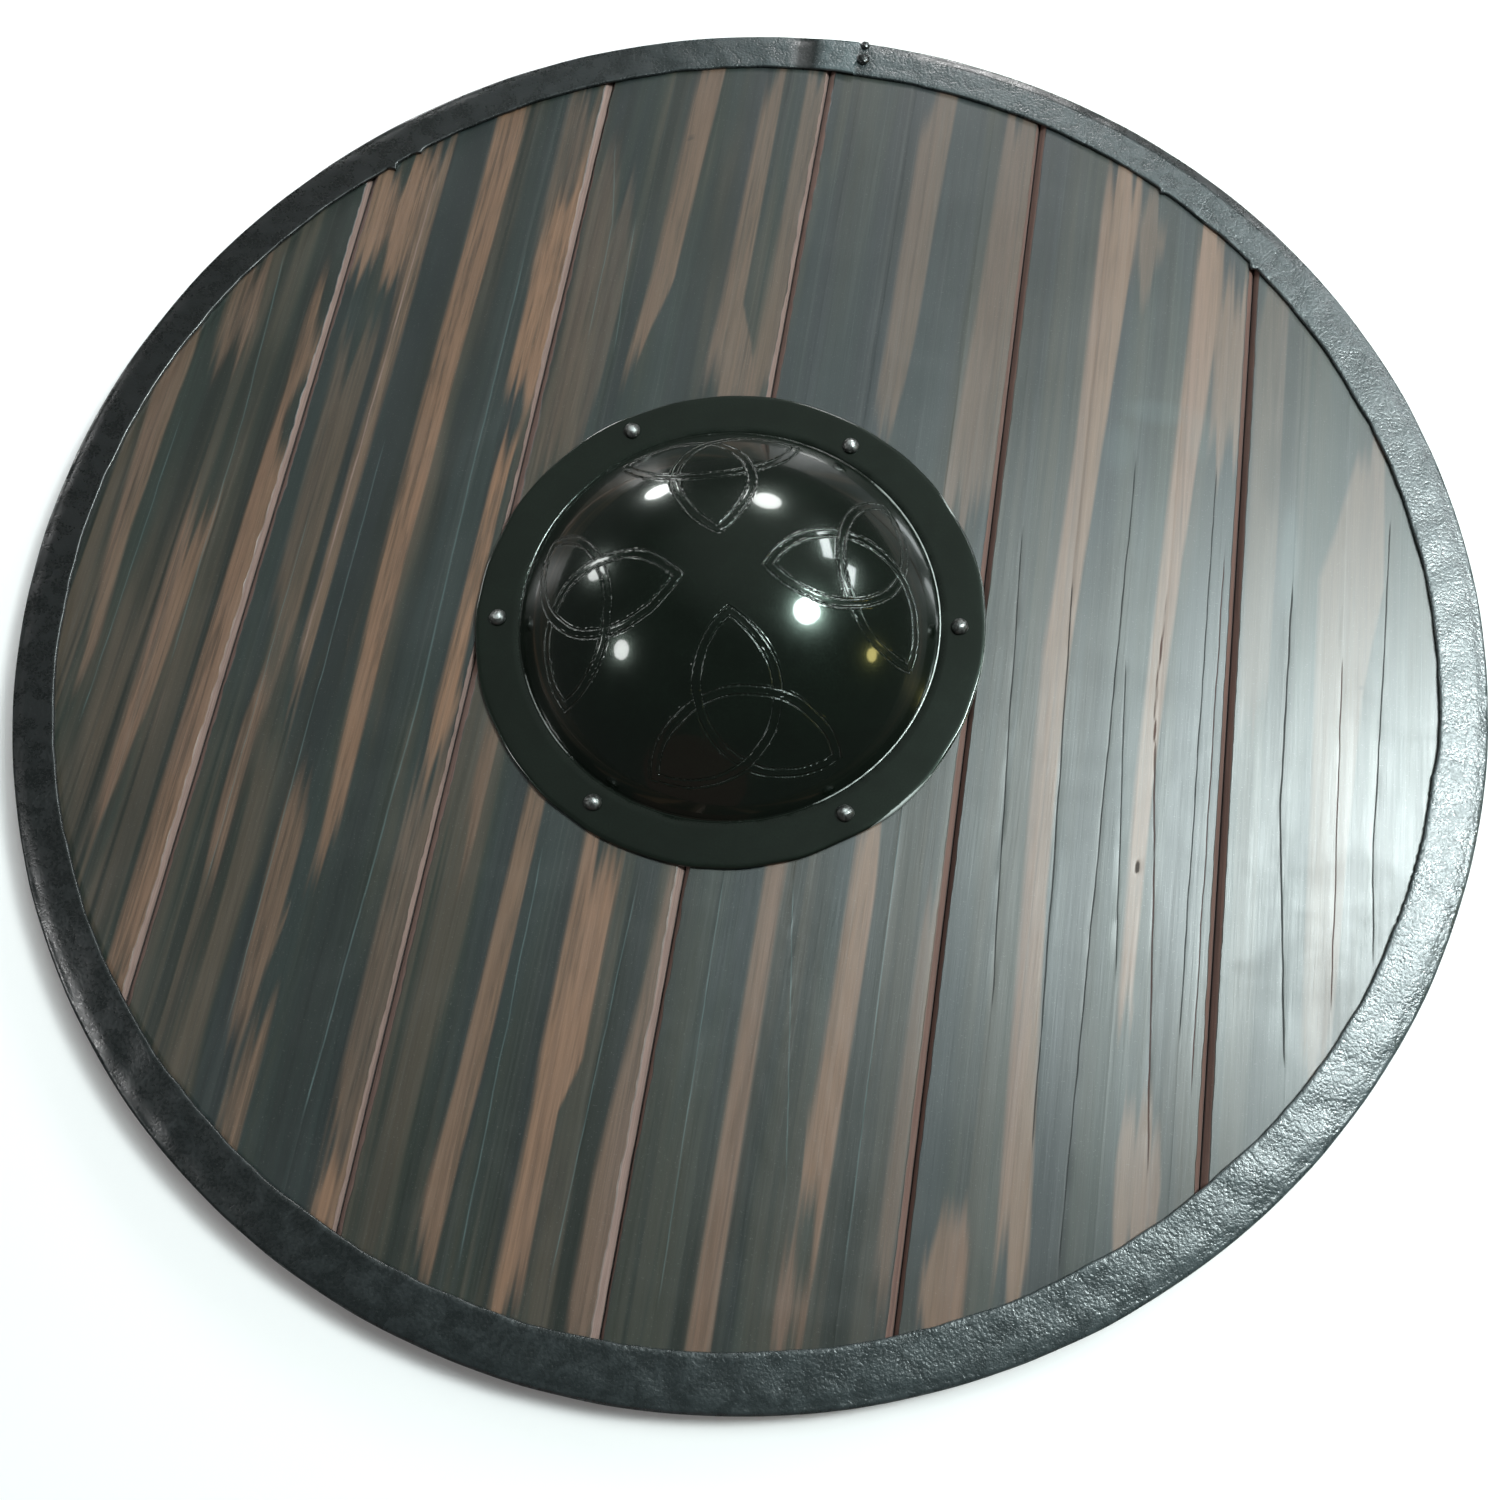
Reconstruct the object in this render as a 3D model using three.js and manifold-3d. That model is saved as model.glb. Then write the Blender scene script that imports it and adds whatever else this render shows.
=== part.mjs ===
// A round wooden shield, lying on its back: six boards edge to edge, a folded steel rim,
// a domed steel boss engraved with four trinity knots, six rivets and a wooden grip.
// Millimetres, +Z up out of the shield's face, +Y along the boards, origin on the
// resting plane under the middle of the rim.
import * as THREE from "three";
import { mergeVertices } from "three/addons/utils/BufferGeometryUtils.js";
import Module from "manifold-3d";

const wasm = await Module();
wasm.setup();

// ---- driving dimensions ----
const shieldRadius = 305;
const roundSides = 72; // facets round the rim and the boards
const gap = 0.3; // left between pieces that touch

const boardBack = 5; // height of the boards' back over the resting plane
const boardThickness = 10;
const boardPitch = 103;
const boardCount = 6;
const boardShift = -2.7; // the middle joint lies a little left of the middle
const grooveWidth = 4.5;
const grooveDepth = 2.6;

const rimSheet = 1.2;
const rimWidth = 20;
const rimCorner = 1.4;
const rimWave = [0.9, 0.6]; // how far the hand-cut inner edge wanders
const lapStart = 88.1; // degrees; where the upper end of the strip stops
const lapEnd = 92.6; // degrees; where it rises off the strip below
const lapRise = 0.9;
const lapSteps = 4;
const beads = [
  { radius: 2.2, reach: 302.0, at: 87.7 },
  { radius: 3.2, reach: 293.4, at: 87.6 },
]; // weld beads that hold the lap

const bossCentre = [-3, -4]; // set by hand, a little off the middle
const bossSheet = 1.5;
const flangeRadius = 107;
const domeRadius = 87.2; // of its foot
const domeRise = 48.2; // over the flange
const domeRings = 7;
const bossSides = 44;
const facetSwell = 0.15; // so that the dome's facets lie half outside its sphere, half inside
const creaseWidth = 1.5;
const creaseDepth = 0.5;

const knotCount = 4;
const knotTurn = 15.5; // degrees; direction of the first knot
const knotReach = 60; // along the dome, from its top to a knot's centre
const knotTip = 42.5; // from a knot's centre to the tip of each lobe
const knotCross = 17.7; // from a knot's centre to where its strands cross
const strandWidth = 3.4; // between the two lines of a strand
const lineWidth = 1.3;
const lineDepth = 0.7;
const lineLift = 0.6; // how far the cutter stands over the surface
const lineStep = 22; // degrees of arc per facet

// [direction in degrees, distance from the boss's middle]; hand set, so not quite even
const rivetPlaces = [
  [6, 95.5],
  [66, 95.5],
  [125, 99],
  [188.5, 97],
  [245, 96],
  [308, 96.5],
];
const gripRivets = [0, 3]; // the two that also hold the grip
const rivetHead = 3.75;
const rivetHeadHeight = 2.7;
const rivetShank = 2;
const rivetTail = 3.2;
const rivetTailHeight = 1.2;
const rivetSides = 10;

const handHole = 60; // radius
const gripLength = 224;
const gripWidth = 27;
const gripWaist = 24;
const gripEnd = 4.7; // thickness where it lies against the boards
const gripRise = 20; // thickness in the hand
const gripShoulder = [38, 56]; // where the swelling is full, and where it starts
const gripRounding = 9;
const tailSink = 1.8; // depth of the pocket that takes a rivet's tail
const tailPocket = 3.9;

// ---- heights worked out from them ----
const boardFace = boardBack + boardThickness;
const flangeTop = boardFace + gap + bossSheet;
const sphereRadius = (domeRadius ** 2 + domeRise ** 2) / (2 * domeRise);
const sphereCentre = flangeTop + domeRise - sphereRadius;
const rimTop = boardFace + gap + rimSheet;
const rimBottom = boardBack - gap - rimSheet;
const knotHub = knotTip - knotCross; // from a knot's centre to the hub of each strand's arc
const strandRadius = Math.sqrt(knotTip ** 2 - knotTip * knotHub + knotHub ** 2);
const rad = THREE.MathUtils.degToRad;

// ---- materials ----
function finish(color, roughness, metalness) {
  return new THREE.MeshStandardMaterial({ color, roughness, metalness });
}
const boardWood = finish(0x41403c, 0.42, 0);
const gripWood = finish(0x5c4632, 0.6, 0);
const rimSteel = finish(0x20282a, 0.45, 0.3);
const bossSteel = finish(0x0c110e, 0.15, 0.3);
const rivetSteel = finish(0x6f7472, 0.35, 0.9);

// ---- helpers ----
// A three.js geometry as a manifold-3d solid.
function solid(geometry) {
  const bare = new THREE.BufferGeometry();
  bare.setAttribute("position", geometry.getAttribute("position"));
  bare.setIndex(geometry.index);
  const merged = mergeVertices(bare, 1e-4);
  return new wasm.Manifold(
    new wasm.Mesh({
      numProp: 3,
      vertProperties: merged.attributes.position.array,
      triVerts: new Uint32Array(merged.index.array),
    }),
  );
}

// A manifold-3d solid as a three.js geometry.
function geometryOf(body) {
  const mesh = body.getMesh();
  const geometry = new THREE.BufferGeometry();
  geometry.setAttribute("position", new THREE.BufferAttribute(mesh.vertProperties, 3));
  geometry.setIndex(new THREE.BufferAttribute(mesh.triVerts, 1));
  return geometry;
}

// A profile of [radius, height] points turned round the vertical axis.
function turned(profile, sides) {
  const points = profile.map(([r, z]) => new THREE.Vector2(r, z));
  return new THREE.LatheGeometry(points, sides).rotateX(Math.PI / 2);
}

// An upright cylinder between two heights.
function rod(radius, low, high, sides) {
  return turned([[0, low], [radius, low], [radius, high], [0, high]], sides);
}

// A flat outline of [x, z] points, extruded along Y and centred on it.
function extrudedAlongY(outline, length) {
  const shape = new THREE.Shape(outline.map(([x, z]) => new THREE.Vector2(x, z)));
  const geometry = new THREE.ExtrudeGeometry(shape, { depth: length, bevelEnabled: false });
  return geometry.rotateX(Math.PI / 2).translate(0, length / 2, 0);
}

// The middle of a rivet, in the shield's frame.
function rivetPoint(index) {
  const [turn, reach] = rivetPlaces[index];
  return [
    bossCentre[0] + reach * Math.cos(rad(turn)),
    bossCentre[1] + reach * Math.sin(rad(turn)),
  ];
}

// Clearance holes for every rivet's shank, between two heights.
function shankHoles(low, high) {
  return rivetPlaces
    .map((_, i) => rod(rivetShank + gap, low, high, rivetSides).translate(...rivetPoint(i), 0))
    .map(solid)
    .reduce((all, hole) => all.add(hole));
}

function named(name, geometry, material) {
  const mesh = new THREE.Mesh(geometry, material);
  mesh.name = name;
  return mesh;
}

// ---- boards ----
// One board's cross-section, square below and chamfered where it meets a neighbour.
function boardSection(left, right, chamferLeft, chamferRight) {
  const chamfer = (grooveWidth - gap) / 2;
  const shoulder = boardFace - grooveDepth;
  const outline = [[left, boardBack], [right, boardBack]];
  if (chamferRight) outline.push([right, shoulder], [right - chamfer, boardFace]);
  else outline.push([right, boardFace]);
  if (chamferLeft) outline.push([left + chamfer, boardFace], [left, shoulder]);
  else outline.push([left, boardFace]);
  return outline;
}

function makeBoards() {
  const low = boardBack - 1;
  const high = boardFace + 1;
  const disc = solid(rod(shieldRadius - rimSheet - gap, low, high, roundSides));
  const hole = solid(rod(handHole, low, high, bossSides).translate(...bossCentre, 0));
  const cuts = shankHoles(low, high).add(hole);
  const group = new THREE.Group();
  for (let i = 0; i < boardCount; i++) {
    const first = i === 0;
    const last = i === boardCount - 1;
    const joint = boardShift + (i - boardCount / 2) * boardPitch;
    const left = first ? -shieldRadius : joint + gap / 2;
    const right = last ? shieldRadius : joint + boardPitch - gap / 2;
    const section = boardSection(left, right, !first, !last);
    const blank = solid(extrudedAlongY(section, 2 * shieldRadius));
    const board = blank.intersect(disc).subtract(cuts);
    group.add(named(`board_${i + 1}`, geometryOf(board), boardWood));
  }
  return group;
}

// ---- rim ----
// How far the strip's inner edge stands from its nominal circle at an angle in radians.
function handCut(angle) {
  return rimWave[0] * Math.sin(2 * angle + 0.8) + rimWave[1] * Math.sin(5 * angle + 2.1);
}

// The upper end of the strip, lifted over the lower one: a wedge that thins to nothing.
function makeLap() {
  const positions = [];
  const index = [];
  const inner = shieldRadius - rimWidth + rimWave[0];
  const outer = shieldRadius - rimCorner;
  for (let i = 0; i <= lapSteps; i++) {
    const along = i / lapSteps;
    const angle = rad(THREE.MathUtils.lerp(lapStart, lapEnd, along));
    const top = rimTop + lapRise * (1 - along ** 2) + 0.02;
    const bottom = rimTop - rimSheet / 2;
    for (const [reach, z] of [[inner, bottom], [outer, bottom], [outer, top], [inner, top]]) {
      positions.push(reach * Math.cos(angle), reach * Math.sin(angle), z);
    }
  }
  for (let i = 0; i < lapSteps; i++) {
    for (let k = 0; k < 4; k++) {
      const a = 4 * i + k;
      const b = 4 * i + ((k + 1) % 4);
      index.push(a, a + 4, b, b, a + 4, b + 4);
    }
  }
  const end = 4 * lapSteps;
  index.push(0, 1, 2, 0, 2, 3, end, end + 2, end + 1, end, end + 3, end + 2);
  const geometry = new THREE.BufferGeometry();
  geometry.setAttribute("position", new THREE.Float32BufferAttribute(positions, 3));
  geometry.setIndex(index);
  return geometry;
}

function makeRim() {
  const outer = shieldRadius;
  const lip = shieldRadius - rimWidth;
  const wall = shieldRadius - rimSheet;
  const profile = [
    [lip, rimBottom],
    [outer - rimCorner, rimBottom],
    [outer, rimBottom + rimCorner],
    [outer, rimTop - rimCorner],
    [outer - rimCorner, rimTop],
    [lip, rimTop],
    [lip, rimTop - rimSheet],
    [wall, rimTop - rimSheet],
    [wall, rimBottom + rimSheet],
    [lip, rimBottom + rimSheet],
    [lip, rimBottom],
  ];
  const ring = turned(profile, roundSides);
  const place = ring.getAttribute("position");
  for (let i = 0; i < place.count; i++) {
    const [x, y, z] = [place.getX(i), place.getY(i), place.getZ(i)];
    if (Math.hypot(x, y) > lip + 0.1 || z < boardFace) continue;
    const angle = Math.atan2(y, x);
    const reach = lip + handCut(angle);
    place.setXYZ(i, reach * Math.cos(angle), reach * Math.sin(angle), z);
  }
  let rim = solid(ring).add(solid(makeLap()));
  for (const { radius, reach, at } of beads) {
    const bead = new THREE.SphereGeometry(radius, 8, 6);
    bead.scale(1, 1, 0.75);
    bead.translate(reach * Math.cos(rad(at)), reach * Math.sin(rad(at)), rimTop);
    const above = rod(outer - 0.2, rimTop - rimSheet / 2, rimTop + radius, roundSides);
    rim = rim.add(solid(bead).intersect(solid(above)));
  }
  return named("rim", geometryOf(rim), rimSteel);
}

// ---- boss ----
// The direction, from the middle of the dome's sphere, of a point (u, v) drawn flat round
// a knot's centre: u away from the top of the dome, v to the left of that. Distances from
// the knot's centre stay true.
function onDome(u, v, turn) {
  const tilt = knotReach / sphereRadius;
  const level = new THREE.Vector3(Math.cos(turn), Math.sin(turn), 0);
  const up = new THREE.Vector3(0, 0, 1);
  const middle = level.clone().multiplyScalar(Math.sin(tilt)).addScaledVector(up, Math.cos(tilt));
  const outward = level.multiplyScalar(Math.cos(tilt)).addScaledVector(up, -Math.sin(tilt));
  const sideways = new THREE.Vector3().crossVectors(up, outward).normalize();
  const reach = Math.hypot(u, v);
  const lean = outward.multiplyScalar(u / reach).addScaledVector(sideways, v / reach);
  const swing = reach / sphereRadius;
  return middle.multiplyScalar(Math.cos(swing)).addScaledVector(lean, Math.sin(swing));
}

// A V-shaped cutter that follows a line of directions over the dome.
function lineCutter(directions) {
  const halfTop = (lineWidth * (lineDepth + lineLift)) / lineDepth / 2;
  const positions = [];
  const index = [];
  directions.forEach((n, i) => {
    const before = directions[Math.max(i - 1, 0)];
    const after = directions[Math.min(i + 1, directions.length - 1)];
    const across = after.clone().sub(before).cross(n).normalize();
    const top = n.clone().multiplyScalar(sphereRadius + lineLift);
    const bottom = n.clone().multiplyScalar(sphereRadius - lineDepth);
    positions.push(...top.clone().addScaledVector(across, halfTop).toArray());
    positions.push(...bottom.toArray());
    positions.push(...top.addScaledVector(across, -halfTop).toArray());
  });
  for (let i = 0; i < directions.length - 1; i++) {
    for (let k = 0; k < 3; k++) {
      const a = 3 * i + k;
      const b = 3 * i + ((k + 1) % 3);
      index.push(a, b, a + 3, b, b + 3, a + 3);
    }
  }
  const end = 3 * (directions.length - 1);
  index.push(0, 2, 1, end, end + 1, end + 2);
  const geometry = new THREE.BufferGeometry();
  geometry.setAttribute("position", new THREE.Float32BufferAttribute(positions, 3));
  geometry.setIndex(index);
  return geometry.translate(...bossCentre, sphereCentre);
}

// One of a strand's two lines, as runs of arc angles that stop where the strand passes
// under the next one. The strand is an arc round hub; over is the hub of the strand above.
function visibleRuns(radius, hub, far, over, underPoint) {
  const tip = (knotHub + Math.sqrt(4 * radius ** 2 - 3 * knotHub ** 2)) / 2;
  const third = Math.PI / 3;
  const half = Math.PI - Math.atan2(tip * Math.sin(third), tip * Math.cos(third) - knotHub);
  const fine = rad(0.5);
  const runs = [];
  let run = null;
  for (let angle = far - half; angle <= far + half + 1e-9; angle += fine) {
    const u = hub[0] + radius * Math.cos(angle);
    const v = hub[1] + radius * Math.sin(angle);
    const offStrand = Math.abs(Math.hypot(u - over[0], v - over[1]) - strandRadius);
    const offCrossing = Math.hypot(u - underPoint[0], v - underPoint[1]);
    if (offStrand < strandWidth / 2 && offCrossing < 3 * strandWidth) {
      run = null;
    } else if (run) {
      run[1] = angle;
    } else {
      run = [angle, angle];
      runs.push(run);
    }
  }
  return runs;
}

// The cutters of one trinity knot: three strands, each an arc from lobe to lobe drawn as
// two lines, over the first strand it meets and under the second.
function knotCutters(turn) {
  const polar = (reach, angle) => [reach * Math.cos(angle), reach * Math.sin(angle)];
  const cutters = [];
  for (let k = 0; k < 3; k++) {
    const lobe = Math.PI - rad(120 * k);
    const hub = polar(knotHub, lobe - rad(60));
    const over = polar(knotHub, lobe + rad(60));
    const underPoint = polar(knotCross, lobe + Math.PI);
    for (const side of [-0.5, 0.5]) {
      const radius = strandRadius + side * strandWidth;
      for (const [from, to] of visibleRuns(radius, hub, lobe + rad(120), over, underPoint)) {
        const steps = Math.max(2, Math.round((to - from) / rad(lineStep)));
        const path = Array.from({ length: steps + 1 }, (_, i) => {
          const angle = THREE.MathUtils.lerp(from, to, i / steps);
          return onDome(hub[0] + radius * Math.cos(angle), hub[1] + radius * Math.sin(angle), turn);
        });
        cutters.push(solid(lineCutter(path)));
      }
    }
  }
  return cutters;
}

function makeBoss() {
  const foot = Math.asin(domeRadius / sphereRadius);
  const outside = Array.from({ length: domeRings + 1 }, (_, i) => {
    const tilt = (foot * i) / domeRings;
    const reach = sphereRadius + (i < domeRings ? facetSwell : 0);
    return [reach * Math.sin(tilt), sphereCentre + reach * Math.cos(tilt)];
  });
  const innerRadius = sphereRadius - bossSheet;
  const innerFoot = Math.acos((flangeTop - bossSheet - sphereCentre) / innerRadius);
  const innerRings = domeRings - 3;
  const inside = Array.from({ length: innerRings + 1 }, (_, i) => {
    const tilt = (innerFoot * i) / innerRings;
    return [innerRadius * Math.sin(tilt), sphereCentre + innerRadius * Math.cos(tilt)];
  });
  outside[0][0] = 0;
  inside[0][0] = 0;
  const flange = [
    [domeRadius + creaseWidth / 3, flangeTop - creaseDepth],
    [domeRadius + creaseWidth, flangeTop],
    [flangeRadius - bossSheet / 3, flangeTop],
    [flangeRadius, flangeTop - bossSheet / 3],
    [flangeRadius, flangeTop - bossSheet],
  ];
  const profile = [...inside, ...flange.reverse(), ...outside.reverse()];
  const shell = solid(turned(profile, bossSides).translate(...bossCentre, 0));
  let cutters = shankHoles(boardFace, flangeTop + 1);
  for (let k = 0; k < knotCount; k++) {
    const turn = rad(knotTurn + (360 / knotCount) * k);
    for (const cutter of knotCutters(turn)) cutters = cutters.add(cutter);
  }
  return named("boss", geometryOf(shell.subtract(cutters)), bossSteel);
}

// ---- rivets ----
function makeRivets() {
  const group = new THREE.Group();
  rivetPlaces.forEach((_, i) => {
    const seat = flangeTop + gap;
    const tailTop = gripRivets.includes(i) ? tailSink - gap : boardBack - gap;
    const tailLow = tailTop - rivetTailHeight;
    const headRings = 3;
    const head = Array.from({ length: headRings + 1 }, (_, k) => {
      const rise = (Math.PI / 2) * (k / headRings);
      return [k === headRings ? 0 : rivetHead * Math.cos(rise), seat + rivetHeadHeight * Math.sin(rise)];
    });
    const profile = [
      [0, tailLow],
      [rivetTail * 0.7, tailLow],
      [rivetTail, tailTop],
      [rivetShank, tailTop],
      [rivetShank, seat],
      ...head,
    ];
    const geometry = turned(profile, rivetSides).translate(...rivetPoint(i), 0);
    group.add(named(`rivet_${i + 1}`, geometry, rivetSteel));
  });
  return group;
}

// ---- grip ----
function makeGrip() {
  const half = gripLength / 2;
  const [full, start] = gripShoulder;
  const shoulderSteps = 5;
  // The side view: flat below, thin at the ends, swelling into the hand hole.
  const rise = Array.from({ length: shoulderSteps + 1 }, (_, i) => {
    const along = i / shoulderSteps;
    const ease = along * along * (3 - 2 * along);
    return [THREE.MathUtils.lerp(start, full, along), THREE.MathUtils.lerp(gripEnd, gripRise, ease)];
  });
  const right = [[half, 0], [half, gripEnd], ...rise];
  const left = right.map(([x, z]) => [-x, z]).reverse();
  const side = extrudedAlongY([...right, ...left], 2 * gripWidth);
  // The plan: rounded corners and a slight waist.
  const plan = new THREE.Shape();
  const cornerX = half - gripRounding;
  const cornerY = gripWidth / 2 - gripRounding;
  const quarter = Math.PI / 2;
  plan.moveTo(-cornerX, -gripWidth / 2);
  plan.quadraticCurveTo(0, gripWidth / 2 - gripWaist, cornerX, -gripWidth / 2);
  plan.absarc(cornerX, -cornerY, gripRounding, -quarter, 0);
  plan.absarc(cornerX, cornerY, gripRounding, 0, quarter);
  plan.quadraticCurveTo(0, gripWaist - gripWidth / 2, -cornerX, gripWidth / 2);
  plan.absarc(-cornerX, cornerY, gripRounding, quarter, 2 * quarter);
  plan.absarc(-cornerX, -cornerY, gripRounding, 2 * quarter, 3 * quarter);
  const settings = { depth: 2 * gripRise, bevelEnabled: false, curveSegments: 4 };
  const board = new THREE.ExtrudeGeometry(plan, settings).translate(0, 0, -gripRise / 2);
  const [rightRivet, leftRivet] = gripRivets.map(rivetPoint);
  const turn = Math.atan2(rightRivet[1] - leftRivet[1], rightRivet[0] - leftRivet[0]);
  const middle = [(rightRivet[0] + leftRivet[0]) / 2, (rightRivet[1] + leftRivet[1]) / 2, 0];
  const place = (geometry) => geometry.rotateZ(turn).translate(...middle);
  let grip = solid(place(side)).intersect(solid(place(board)));
  for (const point of [rightRivet, leftRivet]) {
    const hole = rod(rivetShank + gap, -1, boardBack, rivetSides).translate(...point, 0);
    const pocket = rod(tailPocket, -1, tailSink, rivetSides).translate(...point, 0);
    grip = grip.subtract(solid(hole)).subtract(solid(pocket));
  }
  return named("grip", geometryOf(grip), gripWood);
}

const shield = new THREE.Group();
shield.add(makeBoards(), makeRim(), makeBoss(), makeRivets(), makeGrip());

export default shield;
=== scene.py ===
"""A round wooden shield lying on its back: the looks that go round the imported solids.

Six lacquered boards with open stain, V-grooves and cracks, a folded and lapped rim of
painted sheet steel, a gloss black boss engraved with four trinity knots, six rivets and
a wooden grip behind. Sizes are in millimetres in the shield's own frame: +Z out of its
face, +Y along the boards, origin on the resting plane under the middle of the rim.
"""

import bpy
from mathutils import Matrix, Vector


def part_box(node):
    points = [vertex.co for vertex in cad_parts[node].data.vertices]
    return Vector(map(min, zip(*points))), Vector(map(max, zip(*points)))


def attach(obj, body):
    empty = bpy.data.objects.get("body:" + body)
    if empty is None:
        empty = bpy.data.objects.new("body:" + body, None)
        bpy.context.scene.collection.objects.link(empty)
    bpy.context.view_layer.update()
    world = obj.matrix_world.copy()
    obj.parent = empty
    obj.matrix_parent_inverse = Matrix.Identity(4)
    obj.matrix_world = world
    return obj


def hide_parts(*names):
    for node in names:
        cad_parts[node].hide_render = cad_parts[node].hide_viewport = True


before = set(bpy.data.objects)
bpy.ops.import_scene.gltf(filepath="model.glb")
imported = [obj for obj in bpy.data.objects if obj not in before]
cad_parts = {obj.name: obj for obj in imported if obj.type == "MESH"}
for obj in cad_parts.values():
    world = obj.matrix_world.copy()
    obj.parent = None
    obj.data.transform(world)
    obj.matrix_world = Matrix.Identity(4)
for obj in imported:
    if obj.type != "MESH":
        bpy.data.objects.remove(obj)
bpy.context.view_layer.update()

import logging
import math
from dataclasses import dataclass
from enum import Enum

import bmesh
import bpy
import numpy as np
from mathutils import Matrix, Vector

MM = 0.001
RIVET_HOLE = 2.3  # radii of the bored holes, in millimetres
HAND_HOLE = 60.0
log = logging.getLogger("shield")

Colour = tuple[float, float, float, float]
Hole = tuple[float, float, float, float, float]  # x, y, radius, lowest and highest z, in millimetres
Socket = bpy.types.NodeSocket
Outputs = bpy.types.bpy_prop_collection  # a node group's output sockets, by name
Input = Socket | float | tuple[float, ...]  # what a socket may be fed


def shade(red: int, green: int, blue: int) -> Colour:
    """Turns a display colour into the linear colour that a shader takes.

    Args:
        red, green, blue: levels from 0 to 255.

    Returns:
        The linear colour with full alpha.
    """
    levels = [level / 255 for level in (red, green, blue)]
    linear = [v / 12.92 if v <= 0.04045 else ((v + 0.055) / 1.055) ** 2.4 for v in levels]
    return (*linear, 1.0)


def node_box(node: str) -> tuple[Vector, Vector]:
    """A solid's lowest and highest corners in millimetres."""
    low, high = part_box(node)
    return low / MM, high / MM


def wander(along: np.ndarray, seed: int, wavelength: float, octaves: int = 3) -> np.ndarray:
    """A smooth seeded wave along a line.

    Args:
        along: places on the line, in millimetres.
        seed: picks the wave.
        wavelength: its longest waves, in millimetres.
        octaves: how many times finer waves are added.

    Returns:
        Values that stay mostly between -1 and 1.
    """
    draw = np.random.default_rng(seed)
    total = np.zeros_like(along, float)
    for octave in range(octaves):
        for _ in range(3):
            pitch = 2 * math.pi / wavelength * 2**octave * draw.uniform(0.7, 1.4)
            total += np.sin(along * pitch + draw.uniform(0, 2 * math.pi)) * 0.6**octave
    return total / 2.8


def ripple(x: np.ndarray, y: np.ndarray, seed: int, across: float, along: float) -> np.ndarray:
    """A smooth seeded relief over a plane.

    Args:
        x, y: places in millimetres.
        seed: picks the relief.
        across: wavelength along x.
        along: wavelength along y.

    Returns:
        Values that stay mostly between -1 and 1.
    """
    draw = np.random.default_rng(seed)
    total = np.zeros(np.broadcast(x, y).shape)
    for _ in range(7):
        pitch_x = draw.uniform(-1.3, 1.3) * 2 * math.pi / across
        pitch_y = draw.uniform(-1.3, 1.3) * 2 * math.pi / along
        total += np.sin(x * pitch_x + y * pitch_y + draw.uniform(0, 2 * math.pi))
    return total / 4


# ---------------------------------------------------------------- node trees


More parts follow.
